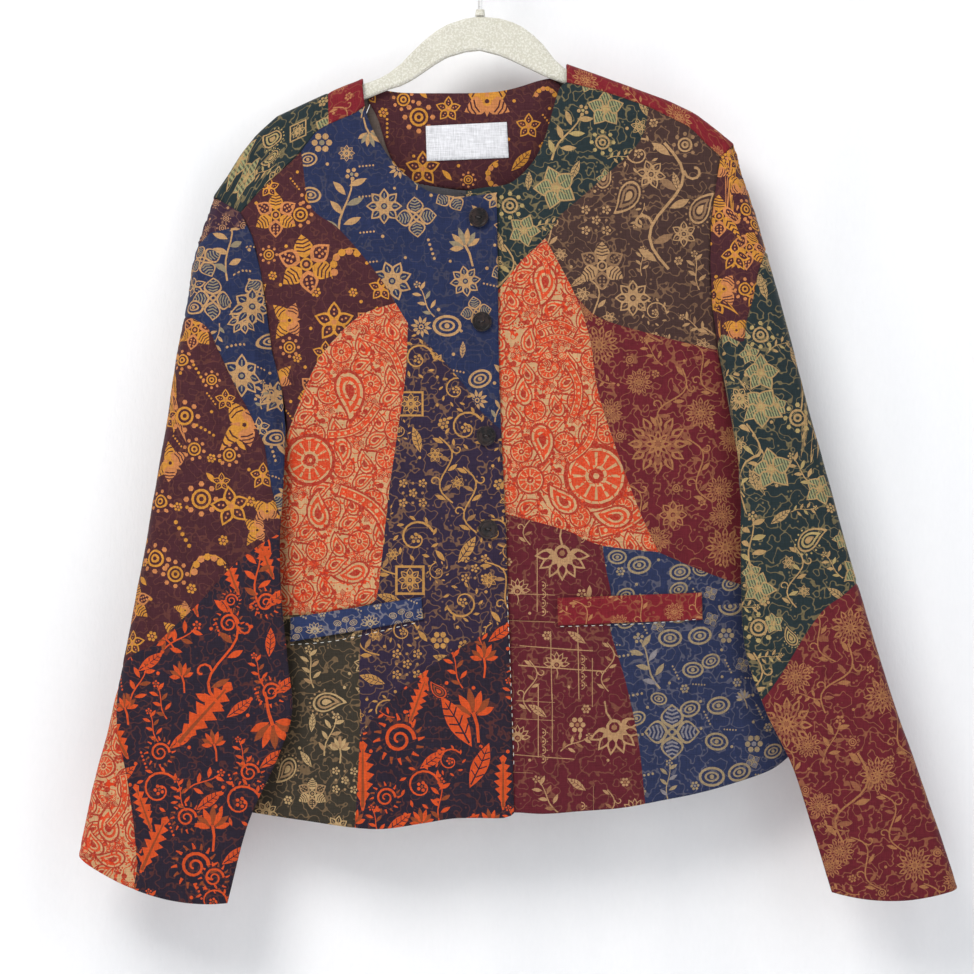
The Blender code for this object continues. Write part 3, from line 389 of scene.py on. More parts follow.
def nearestOn(line, point):
    starts = np.array([tuple(p) for p in line[:-1]])
    ways = np.array([tuple(p) for p in line[1:]]) - starts
    share = np.clip(((np.array(point) - starts) * ways).sum(1)
                    / np.maximum((ways ** 2).sum(1), 1e-12), 0, 1)
    near = starts + ways * share[:, None]
    away = np.hypot(*(near - np.array(point)).T)
    best = int(np.argmin(away))
    return Vector(near[best]), float(away[best]), best


def joinedEnd(lines, point, reach):
    found = [(*nearestOn(line, point), line) for line in lines]
    place, distance, stretch, line = min(found, key=lambda one: one[1])
    if distance > reach:
        return point
    for corner in (line[stretch], line[stretch + 1]):
        if (corner - place).length < 0.4:
            return corner.copy()
    line.insert(stretch + 1, place)
    return place.copy()


def segments(lines):
    pairs = [(start, end) for line in lines for start, end in zip(line, line[1:])]
    return np.array([[*start, *end] for start, end in pairs])


def awayFrom(points, parts):
    # distance of each point from the nearest of the segments
    away = np.full(len(points), 1e9)
    for x0, y0, x1, y1 in parts:
        wx, wy = x1 - x0, y1 - y0
        share = np.clip(((points[:, 0] - x0) * wx + (points[:, 1] - y0) * wy)
                        / max(wx * wx + wy * wy, 1e-12), 0, 1)
        away = np.minimum(away, np.hypot(points[:, 0] - x0 - wx * share, points[:, 1] - y0 - wy * share))
    return away


def within(points, parts):
    # odd crossings of an unordered rim
    odd = np.zeros(len(points), bool)
    for x0, y0, x1, y1 in parts:
        if y0 == y1:
            continue
        cross = (y0 > points[:, 1]) != (y1 > points[:, 1])
        odd ^= cross & (points[:, 0] < x0 + (points[:, 1] - y0) / (y1 - y0) * (x1 - x0))
    return odd


def rimPairs(triangles):
    one = np.concatenate([triangles[:, [0, 1]], triangles[:, [1, 2]], triangles[:, [2, 0]]])
    size = int(triangles.max()) + 1
    key, back = one[:, 0] * size + one[:, 1], one[:, 1] * size + one[:, 0]
    return one[~np.isin(key, back)]


def patchRims(lines, seeds):
    # the rim of each patch, by flooding outwards from a point inside it
    points, edges = [], []
    for line in lines:
        first = len(points)
        points += line
        edges += [(first + n, first + n + 1) for n in range(len(line) - 1)]
    flat, ends, faces, _, madeOf, _ = delaunay_2d_cdt(points, edges, [], 0, 1e-3)
    fixed = {tuple(sorted(pair)) for pair, source in zip(ends, madeOf) if source}
    owner = {}
    for number, face in enumerate(faces):
        for pair in zip(face, face[1:] + face[:1]):
            owner.setdefault(tuple(sorted(pair)), []).append(number)
    flatPoints = np.array([tuple(p) for p in flat])
    rims = {}
    for name, seed in seeds.items():
        point = np.array([seed])
        start = next(number for number, face in enumerate(faces)
                     if within(point, [[*flatPoints[a], *flatPoints[b]]
                                       for a, b in zip(face, face[1:] + face[:1])])[0])
        found, queue = {start}, [start]
        while queue:
            face = faces[queue.pop()]
            for pair in zip(face, face[1:] + face[:1]):
                pair = tuple(sorted(pair))
                if pair not in fixed:
                    fresh = [number for number in owner[pair] if number not in found]
                    found.update(fresh)
                    queue += fresh
        pairs = rimPairs(np.array([faces[number] for number in sorted(found)]))
        rims[name] = np.array([[*flatPoints[a], *flatPoints[b]] for a, b in pairs])
    return rims


sewing = {
    "rimRows": (0.5, 1.3, 2.6),     # rows of points beside the rim carry its rounding
    "seamRows": (1.0, 2.4),         # and rows beside the seams their grooves
    "weld": 2e-3,                   # outlines closer than this are cut as one
    "calmRim": 14.0,                # the drape grows over this distance from the rim
    "puckerLong": 6.5,
    "grooveWide": 1.5,
    "seamPucker": (3.0, 16.0),      # where the puckers beside a seam begin and end
    "rimPucker": (4.0, 18.0),
    "round": 1.3,                   # radius of a rim's edge
    "innerStep": 1.7,               # how much wider the mesh of the inside is
    "innerRow": 2.2,
    "sharp": 55.0,                  # degrees at which an edge is shaded sharp
}


def gridWithin(low, high, step, rim):
    grid = np.array([(low[0] + (col + 0.25 + 0.5 * (row % 2)) * step, low[1] + (row + 0.5) * step * 0.87)
                     for row in range(int((high[1] - low[1]) / step / 0.87) + 1)
                     for col in range(int((high[0] - low[0]) / step) + 1)])
    return grid[within(grid, rim)]


def rowsBeside(parts, offset, rim):
    middle = (parts[:, :2] + parts[:, 2:]) / 2
    way = unit(parts[:, 2:] - parts[:, :2])
    side = np.stack([-way[:, 1], way[:, 0]], 1) * offset
    rows = np.concatenate([middle + side, middle - side])
    return rows[within(rows, rim)]


def sewCloth(name, outline, seams, patches, place, settings, turnAt=None):
    # patches: name -> (seed, fabric, listed figures). Returns the piece, ready to show.
    rim = smoothLine(list(outline) + [outline[0]], settings["step"])
    lines = [rim]
    for seam in seams:
        line = smoothLine(seam, settings["step"])
        for end in (0, -1):
            line[end] = joinedEnd(lines, line[end], settings.get("reach", 6.0))
        lines.append(line)
    rimParts, seamParts = segments([rim]), segments(lines[1:])
    rims = patchRims(lines, {patch: seed for patch, (seed, _, _) in patches.items()})
    figures = []
    for number, (patch, (seed, fabric, placed)) in enumerate(patches.items()):
        figures += [(number, *figure) for figure in patchFigures(fabric, placed, rims[patch], turnAt)]
    points, edges = [], []
    for line in lines:
        first = len(points)
        points += line
        edges += [(first + n, first + n + 1) for n in range(len(line) - 1)]
    low, high = rimParts[:, :2].min(0), rimParts[:, :2].max(0)
    step = settings["grid"]
    grid = gridWithin(low, high, step, rimParts)
    allParts = np.concatenate([rimParts, seamParts]) if len(seamParts) else rimParts
    points += [Vector(p) for p in grid[awayFrom(grid, allParts) > 0.45 * step]]
    for parts, offsets in ((rimParts, sewing["rimRows"]), (seamParts, sewing["seamRows"])):
        for offset in offsets:
            if not len(parts):
                continue
            rows = rowsBeside(parts, offset, rimParts)
            rows = rows[awayFrom(rows, allParts) > offset * 0.8]
            points += [Vector(p) for p in rows]
    for _, _, _, shape in figures:
        first = len(points)
        points += [Vector(p) for p in shape]
        edges += [(first + n, first + (n + 1) % len(shape)) for n in range(len(shape))]
    flat, _, cut, _, _, _ = delaunay_2d_cdt(points, edges, [], 0, sewing["weld"])
    flat = np.array([tuple(p) for p in flat])
    cut = np.array(cut)
    centres = flat[cut].mean(1)
    owner = np.full(len(cut), -1)
    for number, patch in enumerate(patches):
        owner[within(centres, rims[patch])] = number
    grounds = [linear(fabrics[fabric]["ground"]) for _, fabric, _ in patches.values()]
    colour = np.zeros((len(cut), 4))
    ribs = np.zeros(len(cut))
    for number, ground in enumerate(grounds):
        colour[owner == number, :3] = ground
    order = np.argsort(centres[:, 0])
    across = centres[order, 0]
    for patch, tint, rib, shape in figures:
        shape = np.array([tuple(p) for p in shape])
        few = order[np.searchsorted(across, shape[:, 0].min()):np.searchsorted(across, shape[:, 0].max())]
        few = few[(owner[few] == patch) & (centres[few, 1] > shape[:, 1].min())
                  & (centres[few, 1] < shape[:, 1].max())]
        ends = np.roll(shape, -1, 0)
        x, y = centres[few, 0][:, None], centres[few, 1][:, None]
        over = (shape[:, 1] > y) != (ends[:, 1] > y)
        rise = np.where(ends[:, 1] == shape[:, 1], 1.0, ends[:, 1] - shape[:, 1])
        crossing = shape[:, 0] + (y - shape[:, 1]) * (ends[:, 0] - shape[:, 0]) / rise
        few = few[(over & (crossing > x)).sum(1) % 2 == 1]
        if tint is None:
            colour[few] = (*grounds[patch], 0.0)
            ribs[few] = 0.0
        else:
            colour[few] = (*tint, 1.0)
            ribs[few] = rib
    keep = owner >= 0
    cut, owner, colour, ribs = cut[keep], owner[keep], colour[keep], ribs[keep]
    used, cut = np.unique(cut, return_inverse=True)
    cut, flat = cut.reshape(-1, 3), flat[used]
    pairs = rimPairs(cut)
    wall = settings["wall"]

    def formed(spots):
        base, ways = place(spots)
        seen = base[:, [0, 2]]
        rimAway = awayFrom(spots, rimParts)
        lift = settings.get("lift", 0.0) + (
            drape(seen, settings["seed"], settings["drape"]) * smooth(rimAway / sewing["calmRim"]))
        lift = lift - creases(seen[:, 0], seen[:, 1], settings.get("creases", ()))
        long = sewing["puckerLong"]
        puckers = settings["pucker"] * lattice(
            settings["seed"] + 7, spots[:, 0] / long + 300, spots[:, 1] / long + 300)
        if len(seamParts):
            seamAway = awayFrom(spots, seamParts)
            begin, end = sewing["seamPucker"]
            lift = lift - settings["groove"] * np.exp(-(seamAway / sewing["grooveWide"]) ** 2)
            lift = lift + puckers * smooth(seamAway / begin) * smooth(1.0 - seamAway / end)
        begin, end = sewing["rimPucker"]
        lift = lift + puckers * smooth(rimAway / begin) * smooth(1.0 - rimAway / end)
        radius = min(settings.get("round", sewing["round"]), wall * 0.65)
        inside = np.maximum(0.0, 1.0 - rimAway / radius)
        drop = wall * 0.46 * (1.0 - np.sqrt(np.maximum(0.0, 1.0 - inside ** 2)))
        return base, ways, lift, drop

    outer, ways, lift, drop = formed(flat)
    top = outer + ways * (lift - drop)[:, None]
    # the inside is plain, so it has a wider mesh that meets the outside all round the rim
    rimSpots, rimEdges = np.unique(pairs, return_inverse=True)
    rimEdges = rimEdges.reshape(-1, 2)
    wide = settings["grid"] * sewing["innerStep"]
    coarse = gridWithin(low, high, wide, rimParts)
    coarse = coarse[awayFrom(coarse, rimParts) > 0.4 * wide]
    rows = rowsBeside(rimParts, sewing["innerRow"], rimParts)
    rows = rows[awayFrom(rows, rimParts) > 1.7]
    spots = np.concatenate([flat[rimSpots], coarse, rows])
    inFlat, _, inCut, inFrom, _, _ = delaunay_2d_cdt(
        [Vector(p) for p in spots], rimEdges.tolist(), [], 0, 1e-5)
    inFlat, inCut = np.array([tuple(p) for p in inFlat]), np.array(inCut)
    inCut = inCut[within(inFlat[inCut].mean(1), rimParts)]
    meets = np.full(len(spots), -1)
    for number, given in enumerate(inFrom):
        meets[given] = number
    meets = meets[:len(rimSpots)]
    inOuter, inWays, inLift, inDrop = formed(inFlat)
    bottom = inOuter + inWays * (inLift - wall + inDrop)[:, None]
    bottom[meets] = outer[rimSpots] + ways[rimSpots] * (lift - wall + drop)[rimSpots][:, None]
    count = len(flat)
    below = meets[rimEdges] + count
    walls = np.concatenate([np.stack([pairs[:, 1], pairs[:, 0], below[:, 0]], 1),
                            np.stack([pairs[:, 1], below[:, 0], below[:, 1]], 1)])
    cutArea = flat[cut]
    if np.cross(cutArea[0, 1] - cutArea[0, 0], cutArea[0, 2] - cutArea[0, 0]) * np.cross(
            inFlat[inCut[0, 1]] - inFlat[inCut[0, 0]], inFlat[inCut[0, 2]] - inFlat[inCut[0, 0]]) < 0.0:
        inCut = inCut[:, ::-1]
    triangles = np.concatenate([cut, inCut[:, ::-1] + count, walls])
    corners = top[cut]
    normal = np.cross(corners[:, 1] - corners[:, 0], corners[:, 2] - corners[:, 0])
    if (normal * ways[cut[:, 0]]).sum() < 0.0:
        triangles = triangles[:, ::-1]
    materialNames = [fabric for _, fabric, _ in patches.values()]
    slots = list(dict.fromkeys(materialNames))
    firstPair = {(a, b): number for number, (a, b) in enumerate(map(tuple, pairs))}
    edgeOwner = np.zeros(len(pairs), int)
    for face, patch in zip(cut.tolist(), owner.tolist()):
        for pair in zip(face, face[1:] + face[:1]):
            if pair in firstPair:
                edgeOwner[firstPair[pair]] = patch
    faceSlot = np.array([slots.index(materialNames[patch]) for patch in owner])
    wallSlot = np.array([slots.index(materialNames[patch]) for patch in edgeOwner])
    lining = len(slots)
    slotOf = np.concatenate([faceSlot, np.full(len(inCut), lining), wallSlot, wallSlot])
    blank = np.array([[*grounds[patch], 0.0] for patch in edgeOwner])
    colours = np.concatenate([colour, np.zeros((len(inCut), 4)), blank, blank])
    ribsAll = np.concatenate([ribs, np.zeros(len(inCut) + 2 * len(pairs))])
    mesh = bpy.data.meshes.new(name)
    mesh.from_pydata((np.concatenate([top, bottom]) * mm).tolist(), [], triangles.tolist())
    mesh.polygons.foreach_set("material_index", slotOf.astype(np.int32))
    mesh.attributes.new("figure", "FLOAT_COLOR", "CORNER").data.foreach_set(
        "color", np.repeat(colours, 3, 0).astype(np.float32).ravel())
    mesh.attributes.new("ribs", "FLOAT", "CORNER").data.foreach_set(
        "value", np.repeat(ribsAll, 3).astype(np.float32))
    seenOrFlat = (outer[:, [0, 2]], inOuter[:, [0, 2]]) if turnAt else (flat, inFlat)
    laid = np.concatenate(seenOrFlat)
    both = laid[triangles.ravel()] * 0.01
    mesh.uv_layers.new(name="flat").data.foreach_set("uv", both.astype(np.float32).ravel())
    mesh.shade_smooth()
    mesh.set_sharp_from_angle(angle=math.radians(sewing["sharp"]))
    for fabric in slots:
        mesh.materials.append(clothMaterial(fabric))
    mesh.materials.append(clothMaterial(settings.get("inside", "lining")))
    piece = bpy.data.objects.new(name, mesh)
    bpy.context.scene.collection.objects.link(piece)
    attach(piece, "root")
    print(name, len(triangles), "triangles,", len(figures), "figures")
    return piece


# Figures, drawn to a radius of one: each is a list of (colour key, outline), the top one last
def disc(radius, sides=10, x=0.0, y=0.0, squash=1.0):
    angle = np.arange(sides) * 2 * math.pi / sides
    return np.stack([x + radius * np.cos(angle), y + radius * squash * np.sin(angle)], 1)


def petal(base, tip, width, blunt=0.7, steps=4, bend=0.0):
    share = np.linspace(0.0, 1.0, steps + 2)
    side = width * np.sin(math.pi * share ** blunt)
    y = base + (tip - base) * share
    x = bend * np.sin(math.pi * share / 2)
    left = np.stack([x - side, y], 1)
    return np.concatenate([left, np.stack([x + side, y], 1)[-2:0:-1]])


def band(line, start, end=None):
    line = np.array(line, float)
    way = unit(np.gradient(line, axis=0))
    side = np.stack([-way[:, 1], way[:, 0]], 1)
    width = np.linspace(start, start if end is None else end, len(line))[:, None] / 2
    return np.concatenate([line + side * width, (line - side * width)[::-1]])


def turned(shape, degrees, x=0.0, y=0.0, size=1.0):
    angle = math.radians(degrees)
    c, s = math.cos(angle) * size, math.sin(angle) * size
    return np.stack([x + shape[:, 0] * c - shape[:, 1] * s, y + shape[:, 0] * s + shape[:, 1] * c], 1)


def moved(figure, degrees, x=0.0, y=0.0, size=1.0):
    return [(key, turned(shape, degrees, x, y, size)) for key, shape in figure]


def curl(turns, start, end, steps, x=0.0, y=0.0, begin=0.0):
    share = np.linspace(0.0, 1.0, steps)
    angle = begin + turns * 2 * math.pi * share
    radius = start + (end - start) * share
    return np.stack([x + radius * np.cos(angle), y + radius * np.sin(angle)], 1)


def wheel(key, shape, count):
    return [(key, turned(shape, 360 * n / count)) for n in range(count)]


def daisy(count=10):
    return wheel("a", petal(0.3, 1.0, 0.15), count) + [("a", disc(0.24)), ("g", disc(0.12, 8))]


def lineDaisy(count=8):
    parts = wheel("a", petal(0.22, 1.0, 0.3), count) + wheel("g", petal(0.4, 0.88, 0.17), count)
    parts += wheel("b", band([(0, 0.45), (0, 0.72)], 0.06), count)
    return parts + [("a", disc(0.3)), ("g", disc(0.18, 8)), ("b", disc(0.1, 6))]


def stripeFlower(count=4):
    parts = []
    for n in range(count):
        angle = 360 * n / count
        parts.append(("a", turned(petal(0.12, 1.0, 0.42, 0.85, 6), angle)))
        parts.append(("g", turned(petal(0.24, 0.92, 0.34, 0.85, 5), angle)))
        for m in range(4):
            y = 0.36 + 0.14 * m
            half = 0.26 - 0.05 * abs(m - 1.2)
            bar = band([(-half, y + 0.06), (0, y - 0.02), (half, y + 0.06)], 0.065)
            parts.append(("b", turned(bar, angle)))
    return parts + [("a", disc(0.16)), ("g", disc(0.08, 6))]


def combFlower(count=6):
    parts = []
    for n in range(count):
        angle = 360 * n / count
        key = "ab"[n % 2]
        parts.append((key, turned(petal(0.2, 1.0, 0.32, 0.8, 5), angle)))
        if n % 2:
            parts.append(("g", turned(petal(0.34, 0.9, 0.22, 0.8, 4), angle)))
            for m in range(3):
                for side in (-0.08, 0.08):
                    parts.append((key, turned(disc(0.05, 5, side, 0.5 + 0.13 * m), angle)))
        else:
            for m in range(4):
                y = 0.42 + 0.13 * m
                parts.append(("g", turned(band([(-0.24, y + 0.07), (0, y), (0.24, y + 0.07)], 0.05), angle)))
    return parts + [("a", disc(0.22)), ("g", disc(0.15)), ("b", disc(0.08, 6))]


def ringFlower(count=8):
    parts = [("b", disc(0.16, 6, 0.82 * math.cos(2 * math.pi * n / count),
                             0.82 * math.sin(2 * math.pi * n / count))) for n in range(count)]
    return parts + [("a", disc(0.56, 14)), ("g", disc(0.42, 12)), ("a", disc(0.28)),
                    ("g", disc(0.14, 6))]


def dotFlower(count=6):
    parts = [("a", disc(0.3, 7, 0.66 * math.cos(2 * math.pi * n / count),
                             0.66 * math.sin(2 * math.pi * n / count))) for n in range(count)]
    return parts + [("b", disc(0.26, 7))]


def star(count=5):
    parts = []
    for n in range(count):
        angle = 360 * n / count
        parts.append(("a", turned(petal(0.05, 1.0, 0.34, 0.75, 4), angle)))
        parts.append(("g", turned(petal(0.2, 0.86, 0.22, 0.75, 3), angle)))
        parts += [("b", turned(disc(0.06, 5, 0.0, y), angle)) for y in (0.4, 0.6)]
    return parts + [("b", disc(0.14, 6))]


def butterfly():
    parts = []
    for side in (-1, 1):
        for angle, size, key in ((48, 1.0, "a"), (115, 0.8, "b")):
            parts.append((key, turned(petal(0.1, size, 0.3, 0.55, 5), side * angle)))
            for m in range(3):
                y = (0.45 + 0.16 * m) * size
                parts.append(("g", turned(band([(-0.22, y), (0, y + 0.05), (0.22, y)], 0.05), side * angle)))
    return parts + [("b", turned(petal(-0.5, 0.5, 0.1), 0)), ("a", disc(0.16, 8)),
                    ("g", disc(0.08, 6))]


def leaf(width=0.34, bend=0.12):
    parts = [("a", petal(-1.0, 1.0, width, 1.0, 6, bend))]
    parts.append(("g", band([(0, -0.85), (bend * 0.9, 0.1), (bend, 0.75)], 0.07, 0.03)))
    for y in (-0.5, -0.15, 0.2, 0.5):
        for side in (-1, 1):
            parts.append(("g", band([(bend * 0.7, y), (side * width * 0.8 + bend * 0.7, y + 0.22)], 0.05)))
    return parts


def plainLeaf(key="a", width=0.36, bend=0.15):
    return [(key, petal(-1.0, 1.0, width, 1.0, 4, bend))]


def sprig(leaves=6):
    stem = [(0.1 * math.sin(3 * t), t) for t in np.linspace(-1, 0.75, 7)]
    parts = [("a", band(stem, 0.07, 0.04))]
    for n in range(leaves):
        y = -0.75 + 1.35 * n / (leaves - 1)
        side = 1 if n % 2 else -1
        parts += moved(plainLeaf("b" if n % 3 == 0 else "a"), -side * 55, side * 0.24, y + 0.1, 0.26)
    return parts + moved(dotFlower(5), 0, 0.05, 0.88, 0.2)


def vine(flower=None, leaves=7, key="a"):
    stem = [(0.34 * math.sin(2.6 * t), t) for t in np.linspace(-1.25, 1.25, 13)]
    parts = [(key, band(stem, 0.055))]
    for n in range(leaves):
        t = -1.05 + 2.1 * n / (leaves - 1)
        x, side = 0.34 * math.sin(2.6 * t), 1 if n % 2 else -1
        if n % 3 == 2:
            begin = 0 if side < 0 else math.pi
            parts.append((key, band(curl(0.75, 0.2, 0.06, 8, x + side * 0.22, t, begin), 0.05)))
        else:
            parts += moved(plainLeaf("b" if n % 3 else "a"), -side * 60, x + side * 0.25, t + 0.06, 0.22)
    if flower:
        parts += moved(flower, 20, -0.3, 0.62, 0.3) + moved(flower, 0, 0.34, -0.55, 0.26)
    return parts


def scroll():
    parts = [("a", band(curl(1.15, 0.95, 0.16, 20), 0.12, 0.06))]
    for n in range(9):
        angle = 2 * math.pi * n / 9
        parts += moved(plainLeaf("a", 0.4), math.degrees(angle) - 40, 1.02 * math.cos(angle),
                       1.02 * math.sin(angle), 0.2)
    return parts + moved(dotFlower(5), 0, 0, 0, 0.3)


def fern():
    # a spiral with comb teeth round it
    parts = [("a", band(curl(1.7, 0.62, 0.1, 26), 0.15, 0.08))]
    for n in range(16):
        angle = 2 * math.pi * n / 16
        tooth = [(0.74, 0.0), (0.88, 0.04), (1.0, 0.1)]
        parts.append(("b" if n % 2 else "a", turned(band(tooth, 0.14, 0.05), math.degrees(angle))))
    return parts


def zigzagLeaf(teeth=7):
    left, right = [], []
    for n in range(teeth):
        y = -1.0 + 2.0 * n / teeth
        wide = 0.34 * math.sin(math.pi * (n + 0.6) / (teeth + 0.6))
        left += [(-0.12 * wide / 0.34, y), (-wide, y + 1.5 / teeth)]
        right += [(0.12 * wide / 0.34, y), (wide, y + 1.5 / teeth)]
    shape = np.array(left + [(0.0, 1.05)] + right[::-1])
    return [("a", shape), ("b", band([(0, -0.9), (0, 0.8)], 0.1, 0.04))]


def burst(count=7):
    parts = []
    for n in range(count):
        angle = -75 + 150 * n / (count - 1)
        size = 1.0 - 0.25 * abs(n - (count - 1) / 2) / 3
        parts.append(("b" if n % 2 else "a", turned(petal(0.1, size, 0.13, 1.1), angle)))
    return parts + [("a", band([(0, -0.9), (0.06, -0.3), (0, 0.15)], 0.09, 0.12))]


def fan(count=7):
    parts = [(key, turned(shape, -84 + 168 * n / (count - 1)))
             for key, shape in (("a", petal(0.2, 1.0, 0.22, 0.7, 4)), ("g", petal(0.42, 0.88, 0.12, 0.7, 3)))
             for n in range(count)]
    return parts + [("a", disc(0.3)), ("g", disc(0.2, 8)), ("b", disc(0.11, 6)),
                    ("a", band([(0, -0.25), (0.08, -0.6), (0, -1.0)], 0.08, 0.05))]


def paisley():
    share = np.linspace(0.0, 1.0, 22)[:-1]
    angle = share * 2 * math.pi
    wide = 0.52 * (1.0 - 0.55 * np.clip(np.sin(angle), 0, 1) ** 2)
    shape = np.stack([wide * np.cos(angle) + 0.4 * np.clip(np.sin(angle), 0, 1) ** 3,
                      -0.25 + np.where(np.sin(angle) > 0, 1.15, 0.7) * np.sin(angle)], 1)
    parts = []
    for key, size in (("a", 1.0), ("g", 0.84), ("b", 0.66), ("g", 0.46), ("a", 0.3)):
        parts.append((key, turned(shape, 0, 0.0, -0.2 * (1 - size), size)))
    for n in range(11):
        a = math.pi * (0.92 + 1.16 * n / 10)
        parts.append(("b", disc(0.065, 5, 0.66 * math.cos(a), -0.25 + 0.86 * math.sin(a))))
    return parts


def sun(count=12):
    parts = [("a", disc(1.0, 20)), ("g", disc(0.86, 18)), ("b", disc(0.78, 18))]
    parts += wheel("g", band([(0, 0.32), (0, 0.72)], 0.05, 0.1), count)
    return parts + [("g", disc(0.34, 12)), ("a", disc(0.24)), ("g", disc(0.1, 6))]


def dahlia():
    parts = []
    for count, base, tip, width, key in ((12, 0.5, 1.0, 0.15, "a"), (10, 0.28, 0.72, 0.13, "b"),
                                         (8, 0.08, 0.45, 0.11, "a")):
        for n in range(count):
            angle = 360 * (n + 0.5 * (count % 4)) / count
            parts.append((key, turned(petal(base, tip, width), angle)))
            parts.append(("g", turned(petal(base + 0.1, tip - 0.09, width * 0.45, 0.7, 2), angle)))
    return parts + [("b", disc(0.1, 6))]


def blossom(count=5):
    parts = []
    for n in range(count):
        angle = 360 * n / count
        parts.append(("a", turned(petal(0.1, 1.0, 0.4, 0.6, 6), angle)))
        parts.append(("c", turned(petal(0.18, 0.9, 0.32, 0.6, 5), angle)))
        parts.append(("a", turned(band([(0, 0.2), (0, 0.62)], 0.05, 0.02), angle)))
    return parts + [("a", disc(0.2)), ("b", disc(0.12, 6))]


def roundel():
    parts = [("a", disc(1.0, 18, 0, 0, 0.74)), ("g", disc(0.8, 16, 0, 0, 0.7)),
             ("a", disc(0.56, 14, 0, 0, 0.68)), ("g", disc(0.4, 12, 0, 0, 0.62)),
             ("a", disc(0.18, 8))]
    return parts


def dots(count=5):
    return [("a", disc(0.13, 6, 0.0, -0.8 + 1.6 * n / (count - 1))) for n in range(count)]


def trellis():
    parts = []
    for x, y in ((-0.5, -0.5), (0.5, -0.5), (0, 0), (-0.5, 0.5), (0.5, 0.5)):
        parts += moved(dotFlower(5), 0, x, y, 0.24)
    for x, y in ((0, -0.5), (-0.5, 0), (0.5, 0), (0, 0.5)):
        parts.append(("b", disc(0.08, 5, x, y)))
    return parts


def pebbles():
    parts = []
    for x, y, size in ((-0.6, 0.2, 0.3), (0.05, 0.38, 0.26), (0.6, 0.1, 0.3), (-0.3, -0.42, 0.26),
                       (0.35, -0.4, 0.28)):
        parts += moved(roundel(), 20 * x, x, y, size)
    return parts


def squareFlower():
    box = np.array([(-1, -1), (1, -1), (1, 1), (-1, 1)]) * 0.86
    return [("a", box), ("g", box * 0.84)] + moved(lineDaisy(8), 0, 0, 0, 0.74)


def peas():
    # a pod-like curved leaf of small hatched lobes
    parts = []
    for n in range(6):
        angle = math.pi * (0.15 + 0.7 * n / 5)
        parts.append(("ab"[n % 2], disc(0.2, 7, 0.85 * math.cos(angle), 1.0 * math.sin(angle) - 0.5)))
    return parts + [("a", band(curl(0.42, 1.08, 1.08, 9, 0.0, -0.5, 0.25), 0.07, 0.04))]


def lace(count=4):
    parts = []
    for n in range(count):
        y = -0.9 + 1.8 * n / (count - 1)
        parts.append(("a", band(curl(0.5, 0.26, 0.26, 7, 0.0, y, -math.pi / 2), 0.06)))
        parts.append(("a", disc(0.08, 6, 0.1, y)))
        parts.append(("a", disc(0.05, 5, 0.36, y)))
    return parts


def swath():
    # a curved band with rows of dots along it
    def line(reach, count):
        return [(0.35 * math.sin(1.57 * (1 + y)) - 0.2, y) for y in np.linspace(-reach, reach, count)]

    parts = [(key, band(line(reach, 13), width))
             for key, reach, width in (("a", 1, 0.34), ("g", 0.97, 0.24), ("b", 0.95, 0.17))]
    return parts + [("g", disc(0.055, 6) + spot) for spot in line(0.84, 9)]


shapes = {
    "daisy": daisy(), "lineDaisy": lineDaisy(), "stripeFlower": stripeFlower(), "combFlower": combFlower(),
    "ringFlower": ringFlower(), "dotFlower": dotFlower(), "star": star(), "butterfly": butterfly(),
    "leaf": leaf(), "plainLeaf": plainLeaf(), "sprig": sprig(), "vine": vine(),
    "flowerVine": vine(lineDaisy(6)),
    "scroll": scroll(), "fern": fern(), "zigzagLeaf": zigzagLeaf(), "burst": burst(), "fan": fan(),
    "paisley": paisley(), "sun": sun(), "dahlia": dahlia(), "blossom": blossom(), "roundel": roundel(),
    "dots": dots(), "trellis": trellis(), "pebbles": pebbles(), "squareFlower": squareFlower(),
    "peas": peas(), "lace": lace(), "swath": swath(),
    "thread": [("a", band([(0, -1), (0, 1)], 0.026))],
    "bar": [("a", band([(0, -1), (0, 1)], 0.16))],
    "spot": [("a", disc(1, 7))],
}


